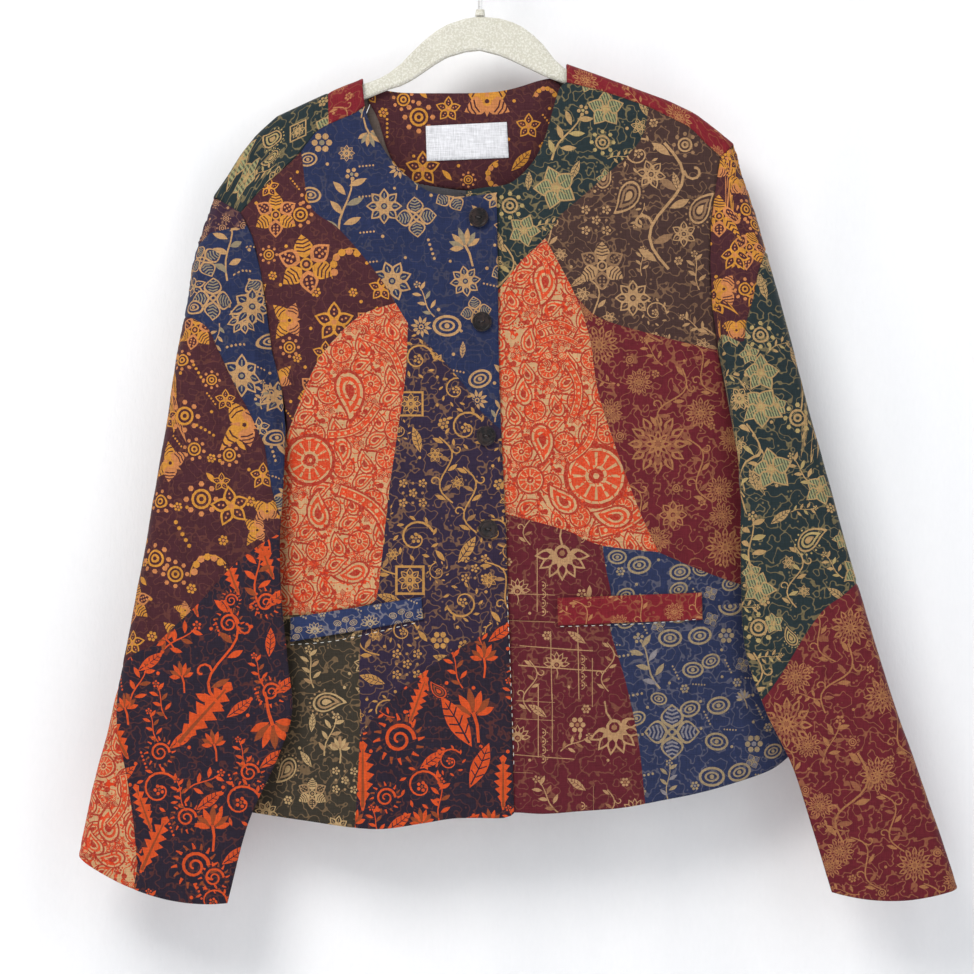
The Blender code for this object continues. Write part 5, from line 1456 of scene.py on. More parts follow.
rightFront = {
    "neck": (
        (-11.5, -214), (0.8, -211.6), (24.6, -207.5), (41.8, -191.9), (52.5, -172.2), (61.5, -141),
        (66, -128), (71.3, -123.8)),
    "edge": ((-11.5, -214), (-9, -386.2), (-3, -550), (3.3, -726)),
    "hem": (
        (3.3, -726), (27.9, -724.1), (50, -724.9), (83.6, -722.4), (117.3, -720), (150.9, -714.2),
        (183.7, -707.7), (217.3, -698.6), (241.1, -690.4), (256, -680)),
    "seams": (
        ((139.4, -144.3), (131.2, -173), (98.4, -205.8), (65.6, -234.5)),
        ((65.6, -234.5), (53.3, -253.4), (32.8, -273.1), (14.8, -296), (-10, -319)),
        ((53.3, -253.4), (77.9, -300.1), (90.2, -337), (98.4, -386.2), (127.1, -468.2), (146, -510.9)),
        ((77.9, -300.1), (98.4, -319), (147.6, -333.7), (196, -345.2)),
        ((146, -510.9), (98.4, -505.1), (69.7, -492.8), (24.6, -480.5), (-5.3, -472)),
        ((146, -510.9), (180.4, -525.6), (214.8, -537.9), (243, -545)),
        (
            (100, -505.3), (103.3, -525.6), (107.4, -547), (106.6, -573.2), (118.9, -615.8),
            (129.6, -665), (135.3, -716.8)),
        ((107.3, -560), (147.6, -558.4), (214.8, -553.5), (245, -550))),
    "patches": {
        "tealFlower": ((80, -170), (
            ("ringFlower", 603, 141, 11, 0), ("blossom", 556, 187, 19, 20), ("sprig", 568, 132, 26, -30),
            ("blossom", 606, 107, 16, 0), ("ringFlower", 510, 205, 12, 0), ("blossom", 524, 230, 14, 50),
            ("leaf", 528, 180, 8, 0), ("leaf", 576, 170, 9, 160))),
        "brownVine": ((150, -260), (
            ("scroll", 639, 152, 14, 60), ("paisley", 628, 199, 17, 160), ("flowerVine", 667, 205, 42, 0),
            ("combFlower", 602, 266, 20, 0), ("lineDaisy", 633, 298, 15, 0), ("sprig", 642, 261, 12, 0),
            ("trellis", 596, 220, 17, 0), ("paisley", 702, 205, 16, -20), ("ringFlower", 686, 143, 11, 0),
            ("leaf", 676, 180, 8, 20), ("sprig", 640, 215, 11, 160), ("sprig", 697, 270, 16, 10),
            ("scroll", 655, 312, 10, 0), ("sprig", 695, 325, 14, 60))),
        "redPaisley": ((40, -400), (
            ("sun", 596, 476, 27, 0), ("paisley", 546, 286, 20, 190), ("swath", 556, 326, 16, 88),
            ("swath", 558, 340, 16, 88), ("paisley", 522, 391, 14, 20), ("paisley", 544, 444, 19, 200),
            ("swath", 634, 510, 34, -47), ("paisley", 611, 518, 19, 100), ("swath", 574, 388, 24, 8),
            ("paisley", 528, 340, 13, 10), ("combFlower", 555, 360, 11, 0), ("paisley", 560, 500, 18, 60),
            ("swath", 585, 440, 22, -30), ("sun", 530, 480, 12, 0), ("swath", 540, 260, 14, 40))),
        "burgundyVine": ((150, -420), (
            ("dahlia", 658, 444, 25, 0), ("dahlia", 701, 413, 13, 0), ("dahlia", 639, 382, 11, 0),
            ("dahlia", 586, 311, 10, 0), ("dahlia", 599, 345, 16, 20), ("lineDaisy", 673, 515, 12, 0),
            ("dahlia", 726, 548, 17, 0), ("vine", 672, 400, 22, -20), ("vine", 700, 470, 22, 20),
            ("sprig", 652, 352, 14, 40), ("vine", 640, 510, 20, 30), ("dahlia", 720, 490, 12, 0))),
        "navyWedge": ((130, -535), (("roundel", 639, 565, 10, 10), ("roundel", 617, 557, 8, 0), (
            "roundel", 680, 572, 9, 10))),
        "maroonPlaid": ((60, -620), (
            ("fan", 562, 553, 23, 180), ("fan", 614, 727, 23, 200), ("sprig", 600, 608, 22, 55),
            ("vine", 530, 686, 17, 0), ("sprig", 546, 794, 17, 35), ("thread", 551, 665, 28, 1),
            ("thread", 552, 722, 24, 0), ("thread", 578, 662, 30, 1), ("thread", 592, 682, 20, 0),
            ("thread", 538, 720, 30, 0), ("thread", 537, 580, 26, 0), ("thread", 556, 648, 30, 86),
            ("thread", 562, 668, 36, 86), ("thread", 535, 701, 16, 88), ("thread", 535, 719, 16, 88),
            ("thread", 542, 756, 26, 86), ("thread", 528, 594, 22, 88), ("thread", 528, 621, 22, 88),
            ("thread", 522, 772, 9, 88), ("thread", 598, 622, 18, 84), ("thread", 515, 647, 9, 90),
            ("thread", 593, 800, 12, 0), ("sprig", 575, 742, 14, -60), ("dotFlower", 577, 724, 7, 0))),
        "navyRoundel": ((190, -630), (
            ("stripeFlower", 672, 732, 23, 0), ("roundel", 670, 638, 10, 0),
            ("roundel", 700, 636, 10, 10), ("roundel", 693, 670, 9, 0), ("roundel", 690, 709, 9, 20),
            ("roundel", 719, 706, 10, 10), ("roundel", 717, 742, 10, -10), ("roundel", 712, 777, 11, 0),
            ("roundel", 740, 773, 10, 20), ("roundel", 731, 607, 10, 0), ("sprig", 648, 662, 24, 25),
            ("dots", 628, 655, 9, 100), ("dots", 633, 695, 9, 100), ("dots", 638, 735, 9, 100),
            ("dots", 644, 775, 9, 100), ("sprig", 668, 780, 16, 0), ("burst", 745, 700, 9, 20),
            ("dotFlower", 755, 745, 8, 0), ("dotFlower", 727, 636, 7, 0))),
    },
    "nodes": (
        "front_right_teal_flower", "front_right_brown_vine", "front_right_red_paisley",
        "front_right_burgundy_vine", "front_right_navy_wedge", "front_right_maroon_plaid",
        "front_right_navy_roundel"),
    "cut": (0.268, 0.602),
    "cloth": {
        "step": 4, "grid": 6, "reach": 23, "wall": 1.8, "seed": 23, "drape": 1.1, "groove": 1,
        "pucker": 0.5,
        "creases": (
            ((180, -200), (186, -330), 8, 1.6), ((150, -250), (196, -470), 10, -1),
            ((60, -540), (76, -718), 11, 1.2), ((150, -560), (168, -705), 12, -1.2),
            ((196, -500), (206, -680), 8, 1.3), ((30, -250), (90, -330), 9, 0.7)),
    },
}
backPanel = {
    "neck": (
        (-96.8, -119.4), (-86.0, -127.0), (-65.6, -130.5), (-30.0, -131.0), (5.0, -130.5), (26.0, -127.5),
        (49.2, -120.5), (71.3, -107.4)),
    "leftYoke": ((-86.0, -127.0), (-104.0, -168.0), (-126.0, -182.0), (-170.0, -205.0), (-210.0, -243.0)),
    "rightYoke": ((49.2, -120.5), (72.0, -158.0), (110.0, -168.0), (170.0, -190.0), (203.0, -203.0)),
    "hem": (
        (-198.4, -724.5), (-120.0, -730.0), (-40.0, -728.0), (40.0, -722.0), (130.0, -712.0),
        (210.0, -697.0), (256.0, -680.0)),
    "seams": (
        (
            (-196.0, -330.0), (-140.0, -300.0), (-80.0, -322.0), (-20.0, -300.0), (30.0, -318.0),
            (90.0, -290.0), (150.0, -305.0), (202.0, -325.0)),
        ((-12.0, -130.5), (-4.0, -190.0), (-22.0, -250.0), (-18.0, -300.0)),
        ((-30.0, -303.0), (-52.0, -380.0), (-36.0, -460.0), (-58.0, -540.0)),
        (
            (-190.0, -520.0), (-130.0, -552.0), (-58.0, -540.0), (10.0, -560.0), (70.0, -530.0),
            (150.0, -555.0), (250.0, -535.0)),
        ((92.0, -291.0), (108.0, -370.0), (92.0, -450.0), (112.0, -540.0)),
        ((-58.0, -541.0), (-44.0, -610.0), (-60.0, -670.0), (-48.0, -728.0)),
        ((92.0, -536.0), (84.0, -600.0), (104.0, -660.0), (96.0, -717.0))),
    "patches": {
        "navyDaisy": ((-100.0, -250.0), ()), "plumGold": ((90.0, -230.0), ()),
        "oliveVine": ((-130.0, -430.0), ()), "tealFlower": ((30.0, -430.0), ()),
        "burgundyVine": ((170.0, -430.0), ()), "orangeLeaf": ((-130.0, -640.0), ()),
        "maroonPlaid": ((20.0, -650.0), ()), "navyRoundel": ((180.0, -630.0), ()),
    },
    "cut": (0.466, 0.623),
    "cloth": {
        "step": 4.5, "grid": 6.5, "reach": 12.0, "wall": 1.8, "seed": 37, "drape": 1.1, "groove": 0.9,
        "pucker": 0.5,
        "creases": (
            ((-150.0, -320.0), (-130.0, -640.0), 12.0, 1.3),
            ((-20.0, -240.0), (-30.0, -520.0), 14.0, 1.0), ((120.0, -300.0), (140.0, -680.0), 12.0, 1.4),
            ((40.0, -560.0), (30.0, -718.0), 12.0, -1.2)),
    },
}


def armholeLine(side, front, first):
    return [row[0 if front else 1] for row in armholes[side][first:]]


def sewFronts():
    form = leftFront
    outline = (list(shoulderLeft) + list(form["neck"][1:]) + list(form["edge"][1:]) + list(form["hem"][1:])
               + armholeLine("left", True, 3)[::-1])
    patches = {name: (seed, name, photoFigures(rows)) for name, (seed, rows) in form["patches"].items()}
    left = sewCloth("front_left", outline, form["seams"], patches, onFront, form["cloth"])
    showCloth(form["nodes"])
    form = rightFront
    outline = (list(shoulderRight) + armholeLine("right", True, 3) + list(form["hem"][::-1])
               + list(form["edge"][::-1][1:]) + list(form["neck"][1:-1]))
    patches = {name: (seed, {"navyWedge": "navyRoundel"}.get(name, name), photoFigures(rows))
               for name, (seed, rows) in form["patches"].items()}
    right = sewCloth("front_right", outline, form["seams"], patches, onUnderFront, form["cloth"])
    showCloth(form["nodes"])


def sewBack():
    form = backPanel
    outline = (list(form["neck"][1:-1]) + list(form["rightYoke"][1:]) + armholeLine("right", False, 3)
               + list(form["hem"][::-1]) + armholeLine("left", False, 3)[::-1]
               + list(form["leftYoke"][::-1][:-1]))
    patches = {name: (seed, name, ()) for name, (seed, _) in form["patches"].items()}
    back = sewCloth("back", outline, form["seams"], patches, onBack, form["cloth"])
    showCloth(("back_body",))


yokes = {
    "left": {
        "shoulder": shoulderLeft[::-1], "tip": (-220.6, 0), "neckX": -96.8, "behind": "leftYoke",
        "seam": ((-125, -158.5), -125.5, (-126, -182)),
        "patches": {
            "tealFlower": ((-170, 0), (
                ("paisley", 269, 138, 11, 60), ("squareFlower", 297, 129, 8, 0),
                ("paisley", 268, 158, 8, 90), ("blossom", 245, 176, 12, 0), ("sprig", 262, 170, 10, 70))),
            "crimson": ((-110, 0), ()),
        },
        "nodes": ("yoke_left_teal", "yoke_left_crimson"), "slot": "teal_flower", "cut": (0.135, 0.113),
    },
    "right": {
        "shoulder": shoulderRight, "tip": (209.9, 0), "neckX": 71.3, "behind": "rightYoke",
        "seam": None,
        "patches": {
            "crimson": ((130, 0), (("dahlia", 586, 78, 11, 0), ("dahlia", 680, 115, 11, 0), (
                "sprig", 635, 95, 11, 60))),
        },
        "nodes": ("yoke_right_crimson",), "slot": "crimson", "cut": (0.161, 0.08),
    },
    "cloth": {
        "step": 3.5, "grid": 4.5, "reach": 8, "wall": 1.8, "seed": 51, "drape": 0.3, "groove": 0.8,
        "pucker": 0.35,
    },
}


def unrolled(line, front):
    points = np.array([tuple(point) for point in divided(line, 12.0)])
    return [(x, float(-down)) for x, down in zip(points[:, 0], downTo(points[:, 0], points[:, 1], front))]


def sewYokes():
    around = [quarter * step / 2 for step in (-2, -1, 0, 1, 2)]
    for side in ("left", "right"):
        form = yokes[side]
        outline = (unrolled(form["shoulder"], True)
                   + unrolled([row[0] for row in armholes[side][1:3]][::-1], True)[1:] + [form["tip"]]
                   + unrolled([row[1] for row in armholes[side][1:3]], False)
                   + unrolled(backPanel[form["behind"]][::-1], False)[1:]
                   + [(form["neckX"], up) for up in around[::-1]])
        seams = []
        if form["seam"]:
            front, top, back = form["seam"]
            seams = [[unrolled([front, front], True)[0], (top, 0.0), unrolled([back, back], False)[0]]]
        patches = {name: (seed, name, [(kind, x, float(-downTo(x, z, True)), size, turn)
                                       for kind, x, z, size, turn in photoFigures(rows)])
                   for name, (seed, rows) in form["patches"].items()}
        yoke = sewCloth("yoke_" + side, outline, seams, patches, onYoke, yokes["cloth"])
        showCloth(form["nodes"])


sleeveCloth = {
    "left": {
        "seams": (
            ((-194, -246), (-233.7, -259.1)),
            (
                (-246, -317), (-225, -325.5), (-213.2, -348.5), (-200.1, -375.6), (-189.4, -395.2),
                (-176.3, -423.1), (-170.6, -457.6), (-164, -480)),
            (
                (-162.5, -492), (-170.6, -499.4), (-208.3, -528.1), (-231.2, -553.5), (-248.5, -569.9),
                (-271.4, -588.8), (-296, -607.6)),
            ((-297.5, -618), (-291.9, -679), (-283.7, -723.2), (-280, -765), (-283, -786))),
        "patches": {
            "plumRing": ((-214, -236), ()),
            "navyDaisy": ((-205, -300), (
                ("stripeFlower", 213, 298, 18, 0), ("lineDaisy", 252, 306, 16, 0),
                ("lineDaisy", 242, 376, 18, 0), ("sprig", 228, 246, 26, 0), ("roundel", 269, 341, 9, 10),
                ("roundel", 277, 438, 9, 10), ("roundel", 193, 307, 8, 0), ("dots", 242, 270, 8, 100),
                ("dots", 236, 345, 9, 100), ("sprig", 216, 340, 14, 170), ("sprig", 262, 395, 12, 0))),
            "plumGold": ((-220, -470), (
                ("ringFlower", 185, 416, 14, 0), ("butterfly", 245, 425, 24, 80),
                ("butterfly", 170, 463, 20, 60), ("dots", 199, 373, 10, 30),
                ("ringFlower", 182, 360, 9, 0), ("ringFlower", 212, 380, 8, 0),
                ("ringFlower", 202, 499, 15, 0), ("star", 232, 506, 17, 10),
                ("ringFlower", 155, 558, 13, 0), ("ringFlower", 176, 574, 12, 0),
                ("butterfly", 258, 530, 14, 95), ("dots", 183, 534, 14, 30), ("peas", 208, 566, 15, 20),
                ("dots", 206, 430, 10, 60), ("star", 226, 400, 9, 0), ("ringFlower", 230, 455, 10, 0),
                ("star", 222, 482, 8, 0), ("butterfly", 186, 610, 10, 120))),
            "orangeLeaf": ((-230, -650), (
                ("burst", 273, 720, 25, 190), ("zigzagLeaf", 206, 712, 34, -42),
                ("scroll", 242, 801, 17, 0), ("scroll", 161, 788, 16, 40),
                ("zigzagLeaf", 155, 843, 25, -25), ("burst", 214, 827, 20, 0), ("fern", 196, 864, 19, 0),
                ("scroll", 214, 900, 12, 0), ("sprig", 181, 638, 21, -50), ("sprig", 139, 684, 20, -20),
                ("sprig", 258, 572, 24, 0), ("leaf", 270, 642, 12, 0), ("vine", 226, 655, 34, 0),
                ("sprig", 162, 700, 16, 20), ("sprig", 205, 780, 18, -60), ("fern", 232, 600, 9, 0),
                ("burst", 168, 640, 13, 40))),
            "redPaisley": ((-305, -720), (
                ("paisley", 109, 822, 17, 20), ("sun", 105, 765, 10, 0), ("paisley", 112, 858, 14, 100),
                ("swath", 122, 800, 22, -15))),
        },
        "nodes": (
            "sleeve_left_back", "sleeve_left_cap", "sleeve_left_navy_daisy", "sleeve_left_plum_gold",
            "sleeve_left_orange_leaf", "sleeve_left_cuff_corner"),
        "slot": "plum_gold", "cut": (0.465, 0.553),
        "cloth": {
            "step": 4.5, "grid": 6, "reach": 12, "wall": 1.8, "seed": 71, "drape": 1, "groove": 1,
            "pucker": 0.45, "round": 1.3,
            "creases": (
                ((-209, -397), (-211, -512), 7, 1.8),
                ((-225, -300), (-236, -420), 8, -1),
                ((-262, -560), (-300, -720), 9, 1.3),
                ((-230, -620), (-246, -770), 9, -1.2)),
        },
    },
    "right": {
        "seams": (
            (
                (240, -262), (229.6, -278), (224.7, -299.3), (218.1, -322.3), (212.4, -338.7),
                (192, -343)),
            (
                (309.5, -537.1), (300.1, -543.7), (281.3, -557.6), (265.7, -578.1), (254.2, -597),
                (237.8, -622.4), (229, -632))),
        "patches": {
            "plumGold": ((214, -250), (
                ("star", 735, 255, 13, 0), ("ringFlower", 757, 224, 9, 0),
                ("ringFlower", 745, 289, 10, 0), ("butterfly", 724, 289, 17, 90),
                ("combFlower", 720, 215, 18, 0))),
            "tealFlower": ((240, -420), (
                ("ringFlower", 760, 335, 12, 0), ("blossom", 760, 373, 16, 0),
                ("blossom", 760, 407, 18, 40), ("ringFlower", 797, 418, 13, 0),
                ("blossom", 770, 469, 18, 10), ("paisley", 810, 537, 15, -40),
                ("leaf", 779, 516, 10, -50), ("sprig", 750, 540, 22, 0), ("flowerVine", 794, 577, 20, 0),
                ("ringFlower", 757, 627, 13, 0), ("leaf", 835, 594, 9, 60), ("paisley", 788, 636, 9, 40),
                ("sprig", 832, 565, 13, 40), ("sprig", 778, 345, 11, -60), ("sprig", 800, 470, 16, 40))),
            "burgundyVine": ((310, -680), (
                ("dahlia", 849, 627, 16, 0), ("dahlia", 794, 676, 13, 0), ("dahlia", 785, 723, 21, 0),
                ("dahlia", 875, 773, 15, 0), ("dahlia", 912, 863, 15, 0), ("dahlia", 881, 695, 15, 0),
                ("vine", 835, 680, 24, -20), ("vine", 850, 800, 30, -10), ("sprig", 830, 740, 20, -20),
                ("vine", 890, 820, 20, 20), ("dahlia", 838, 850, 12, 0))),
        },
        "nodes": (
            "sleeve_right_back", "sleeve_right_plum_gold", "sleeve_right_teal_flower",
            "sleeve_right_burgundy_vine"),
        "slot": "teal_flower", "cut": (0.527, 0.637),
        "cloth": {
            "step": 4.5, "grid": 6, "reach": 12, "wall": 1.8, "seed": 83, "drape": 1, "groove": 1,
            "pucker": 0.45, "round": 1.3,
            "creases": (
                ((286, -600), (304, -783), 8, 1.8),
                ((216, -190), (222, -330), 7, 1.5),
                ((262, -430), (286, -560), 9, 1),
                ((330, -660), (348, -790), 9, -1.2)),
        },
    },
}


def sleeveTurn(side):
    # how far a place on the cut moves for a step as seen, so that figures keep their shape
    place = onSleeve(side)

    def turnAt(u, v):
        u = float(np.clip(u, -148.0, 148.0))
        v = float(np.clip(v, 3.0, 637.0))
        near, _ = place(np.array([(u - 2, v), (u + 2, v), (u, v - 2), (u, v + 2)]))
        across, along = (near[1] - near[0]) / 4, (near[3] - near[2]) / 4
        flip = -1.0 if u < 0.0 else 1.0
        columns = []
        for way in (across, along):
            seen = np.array([way[0] * flip, way[2]])
            columns.append(seen / max(np.hypot(*seen), 1e-6) * np.linalg.norm(way))
        grid = np.array(columns).T
        if abs(np.linalg.det(grid)) < 0.15:
            return np.eye(2)
        return np.linalg.inv(grid)
    return turnAt


def sewSleeves():
    wide, long = sleeveForm["width"], sleeveForm["length"]
    for side in ("left", "right"):
        form = sleeveCloth[side]
        seams = []
        for seam in form["seams"]:
            line = [sleeveFlat(side, x, z) for x, z in seam]
            if line[0][0] < line[-1][0]:
                line = line[::-1]
            line[-1] = (0.0, line[-1][1])      # the seam goes on round the outer edge to the back
            seams.append(line + [(-u, v) for u, v in line[:-1][::-1]])
        outline = [(-wide, 0.0), (0.0, 0.0), (wide, 0.0), (wide, long), (0.0, long), (-wide, long)]
        patches = {}
        for name, (seed, rows) in form["patches"].items():
            placed = [(kind, *sleeveFlat(side, x, z), size, turn)
                      for kind, x, z, size, turn in photoFigures(rows)]
            patches[name] = (sleeveFlat(side, *seed), name, placed)
        sleeve = sewCloth("sleeve_" + side, outline, seams, patches, onSleeve(side), form["cloth"],
                          sleeveTurn(side))
        showCloth(form["nodes"])


neckPieces = {
    "facing": (
        (-94, -136), (-85, -152), (-76, -180), (-62, -202.5), (-27, -209.5),
        (2, -211), (26, -206), (44, -190), (60, -160), (68, -130)),
    "facingTop": ((62, -118), (-91, -127)), "facingSide": ((-84, -186), (-93, -150)),
    "lining": (
        (-62, -203), (-27, -210), (2, -211.5), (26, -206.5), (44, -190.5), (60, -196),
        (60, -246), (-76, -246), (-76, -190), (-74, -184.5)),
    "label": ((-45.1, -158.3), (22.1, -155), (23.8, -184.5), (-44.3, -187.4)),
    "figures": (
        ("butterfly", 487, 97, 26, 0), ("ringFlower", 418, 113, 14, 0), ("star", 422, 165, 15, 0),
        ("dots", 386, 124, 9, 0), ("peas", 546, 90, 10, 0), ("leaf", 521, 156, 12, -40),
        ("ringFlower", 468, 176, 7, 0), ("peas", 495, 172, 12, 90)),
    "inner": 1.2, "gap": 0.3, "clothWall": 2,
}


def sewNeck():
    form = neckPieces
    facing = (list(backPanel["neck"][1:-1]) + [form["facingTop"][0]] + list(form["facing"][::-1])
              + list(form["facingSide"]) + [form["facingTop"][1]])
    lift = form["clothWall"] + form["gap"] + form["inner"]
    common = {"step": 4.0, "grid": 5.0, "seed": 61, "drape": 0.12, "groove": 0.5, "pucker": 0.15, "wall": 1.1}
    for name, outline, fabric, middle, up, node, slotName, cut in (
            ("neck_facing_cloth", facing, "plumGold", (-10.0, -170.0), lift, "neck_facing", "plum_gold",
             (0.162, 0.093)),
            ("back_lining_cloth", form["lining"], "neckLining", (0.0, -230.0), lift, "back_lining", "lining",
             (0.136, 0.062)),
            ("neck_label_cloth", form["label"], "label", (-10.0, -170.0), lift + form["gap"] + 1.0,
             "neck_label", "label", (0.069, 0.032))):
        placed = photoFigures(form["figures"]) if fabric == "plumGold" else ()
        piece = sewCloth(name, outline, [], {fabric: (middle, fabric, placed)}, onInside(up),
                         {**common, "inside": fabric, "wall": 0.9 if fabric == "label" else 1.1})
        showCloth((node,))


welts = {
    "left": {
        "corners": ((-156, -565), (-48, -547.5), (-46.5, -566), (-156.5, -585)),
        "fabric": "weltBlue", "node": "welt_left", "slot": "welt_blue", "cut": (0.111, 0.02),
    },
    "right": {
        "corners": ((63.1, -548.2), (182, -544.1), (182.5, -566.5), (63.6, -570.7)),
        "fabric": "crimson", "node": "welt_right", "slot": "crimson", "cut": (0.119, 0.0225),
    },
    "lift": 2.9,
    "cloth": {
        "step": 3, "grid": 4, "wall": 1.8, "seed": 91, "drape": 0.2, "groove": 0.5, "pucker": 0.25,
    },
}


def sewWelts():
    for side, place in (("left", onFront), ("right", onUnderFront)):
        form = welts[side]
        corners = np.array(form["corners"])
        seed = tuple(corners.mean(0))
        patches = {form["fabric"]: (seed, form["fabric"], ())}
        piece = sewCloth("pocket_welt_" + side, form["corners"], [], patches, place,
                         {**welts["cloth"], "lift": welts["lift"]})
        showCloth((form["node"],))


sewFronts()
sewBack()
sewYokes()
sewSleeves()
sewNeck()
sewWelts()

stitching = {
    "length": 3, "gap": 3.4, "radius": 0.24,
    "edge": ((507, 596), (509, 640), (511, 690), (513, 740), (514, 772)),
    "weltRight": ((560, 626), (600, 625), (650, 623), (700, 619)),
    "weltLeft": ((290, 645), (330, 641.5), (380, 631), (422, 621)),
}


def runStitches(name, photoLine, place, lift):
    line = smoothLine([fromPhoto(*point) for point in photoLine], 0.6)
    flat = np.array([tuple(point) for point in line])
    points, ways = place(flat)
    points = points + ways * lift
    gone = np.concatenate([[0.0], np.cumsum(np.linalg.norm(np.diff(points, axis=0), axis=1))])
    corners, faces = [], []
    pace = stitching["length"] + stitching["gap"]
    for number in range(int(gone[-1] / pace)):
        first = len(corners)
        wobble = 0.25 * math.sin(number * 2.4)
        for ring in range(5):
            share = ring / 4
            at = number * pace + wobble + share * stitching["length"]
            middle = np.array([np.interp(at, gone, points[:, axis]) for axis in range(3)])
            way = np.array([np.interp(at, gone, ways[:, axis]) for axis in range(3)])
            run = [np.interp(at + 0.5, gone, points[:, axis]) - np.interp(at - 0.5, gone, points[:, axis])
                   for axis in range(3)]
            run = unit(np.array([run]))[0]
            side = np.cross(run, way)
            middle = middle + way * (0.25 * math.sin(math.pi * share) - 0.15)
            thick = stitching["radius"] * (0.45 + 0.55 * math.sin(math.pi * (0.15 + 0.7 * share)))
            for corner in range(6):
                angle = corner * math.pi / 3
                corners.append(middle + (side * math.cos(angle) + way * math.sin(angle)) * thick)
        for ring in range(4):
            for corner in range(6):
                low, after = first + ring * 6, (corner + 1) % 6
                faces.append((low + corner, low + after, low + 6 + after, low + 6 + corner))
        faces.append(tuple(first + corner for corner in range(6))[::-1])
        faces.append(tuple(first + 24 + corner for corner in range(6)))
    mesh = bpy.data.meshes.new(name)
    mesh.from_pydata([tuple(corner * mm) for corner in corners], [], faces)
    shape = bmesh.new()
    shape.from_mesh(mesh)
    bmesh.ops.recalc_face_normals(shape, faces=shape.faces)
    shape.to_mesh(mesh)
    shape.free()
    mesh.shade_smooth()
    mesh.materials.append(threadMaterial())
    piece = bpy.data.objects.new(name, mesh)
    bpy.context.scene.collection.objects.link(piece)
    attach(piece, "root")
    return piece


def threadMaterial():
    if "thread" not in clothMade:
        material, tree, shader = newMaterial("paleThread", **{"Roughness": 0.7})
        where = objectPlace(tree)
        shade = noise(tree, where, 900.0, 2.0)
        tint(tree, shader, shade, (0.62, 0.6, 0.55), (0.9, 0.88, 0.84))
        addBump(tree, shader, shade, 0.3, 0.0002)
        clothMade["thread"] = material
    return clothMade["thread"]


runStitches("edge_stitches", stitching["edge"], onFront, 0.15)
runStitches("welt_stitches_right", stitching["weltRight"], onUnderFront, 3.05)
runStitches("welt_stitches_left", stitching["weltLeft"], onFront, 3.05)

button = {
    "places": ((-1.2, -236.6), (1.6, -322.3), (4.9, -415.7), (6.6, -492)), "radius": 8, "thick": 2.9,
    "rim": 1.5, "dish": 0.7, "holes": 1, "holesApart": 3.4, "clear": 0.3,
}


def deselect():
    bpy.ops.object.select_all(action="DESELECT")


def finishPiece(piece, material, name, nodes=()):
    piece.name = name
    piece.data.name = name
    piece.data.materials.clear()
    piece.data.materials.append(material)
    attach(piece, "root")
    if nodes:
        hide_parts(*nodes)


def buttonMaterial():
    sockets = {"Roughness": 0.28, "Coat Weight": 0.15, "Coat Roughness": 0.1, "Specular IOR Level": 0.3}
    material, tree, shader = newMaterial("darkButton", **sockets)
    where = objectPlace(tree)
    swirl = noise(tree, where, 160.0, 4.0, 0.65)
    fine = noise(tree, where, 1400.0, 2.0, 0.5)
    tint(tree, shader, ramp(tree, swirl, 0.4, 0.62), (0.005, 0.0035, 0.004), (0.028, 0.016, 0.014))
    link(tree, math2(tree, "MULTIPLY_ADD", fine, 0.22, 0.2), shader.inputs["Roughness"])
    addBump(tree, shader, fine, 0.12, 0.0001)
    return material


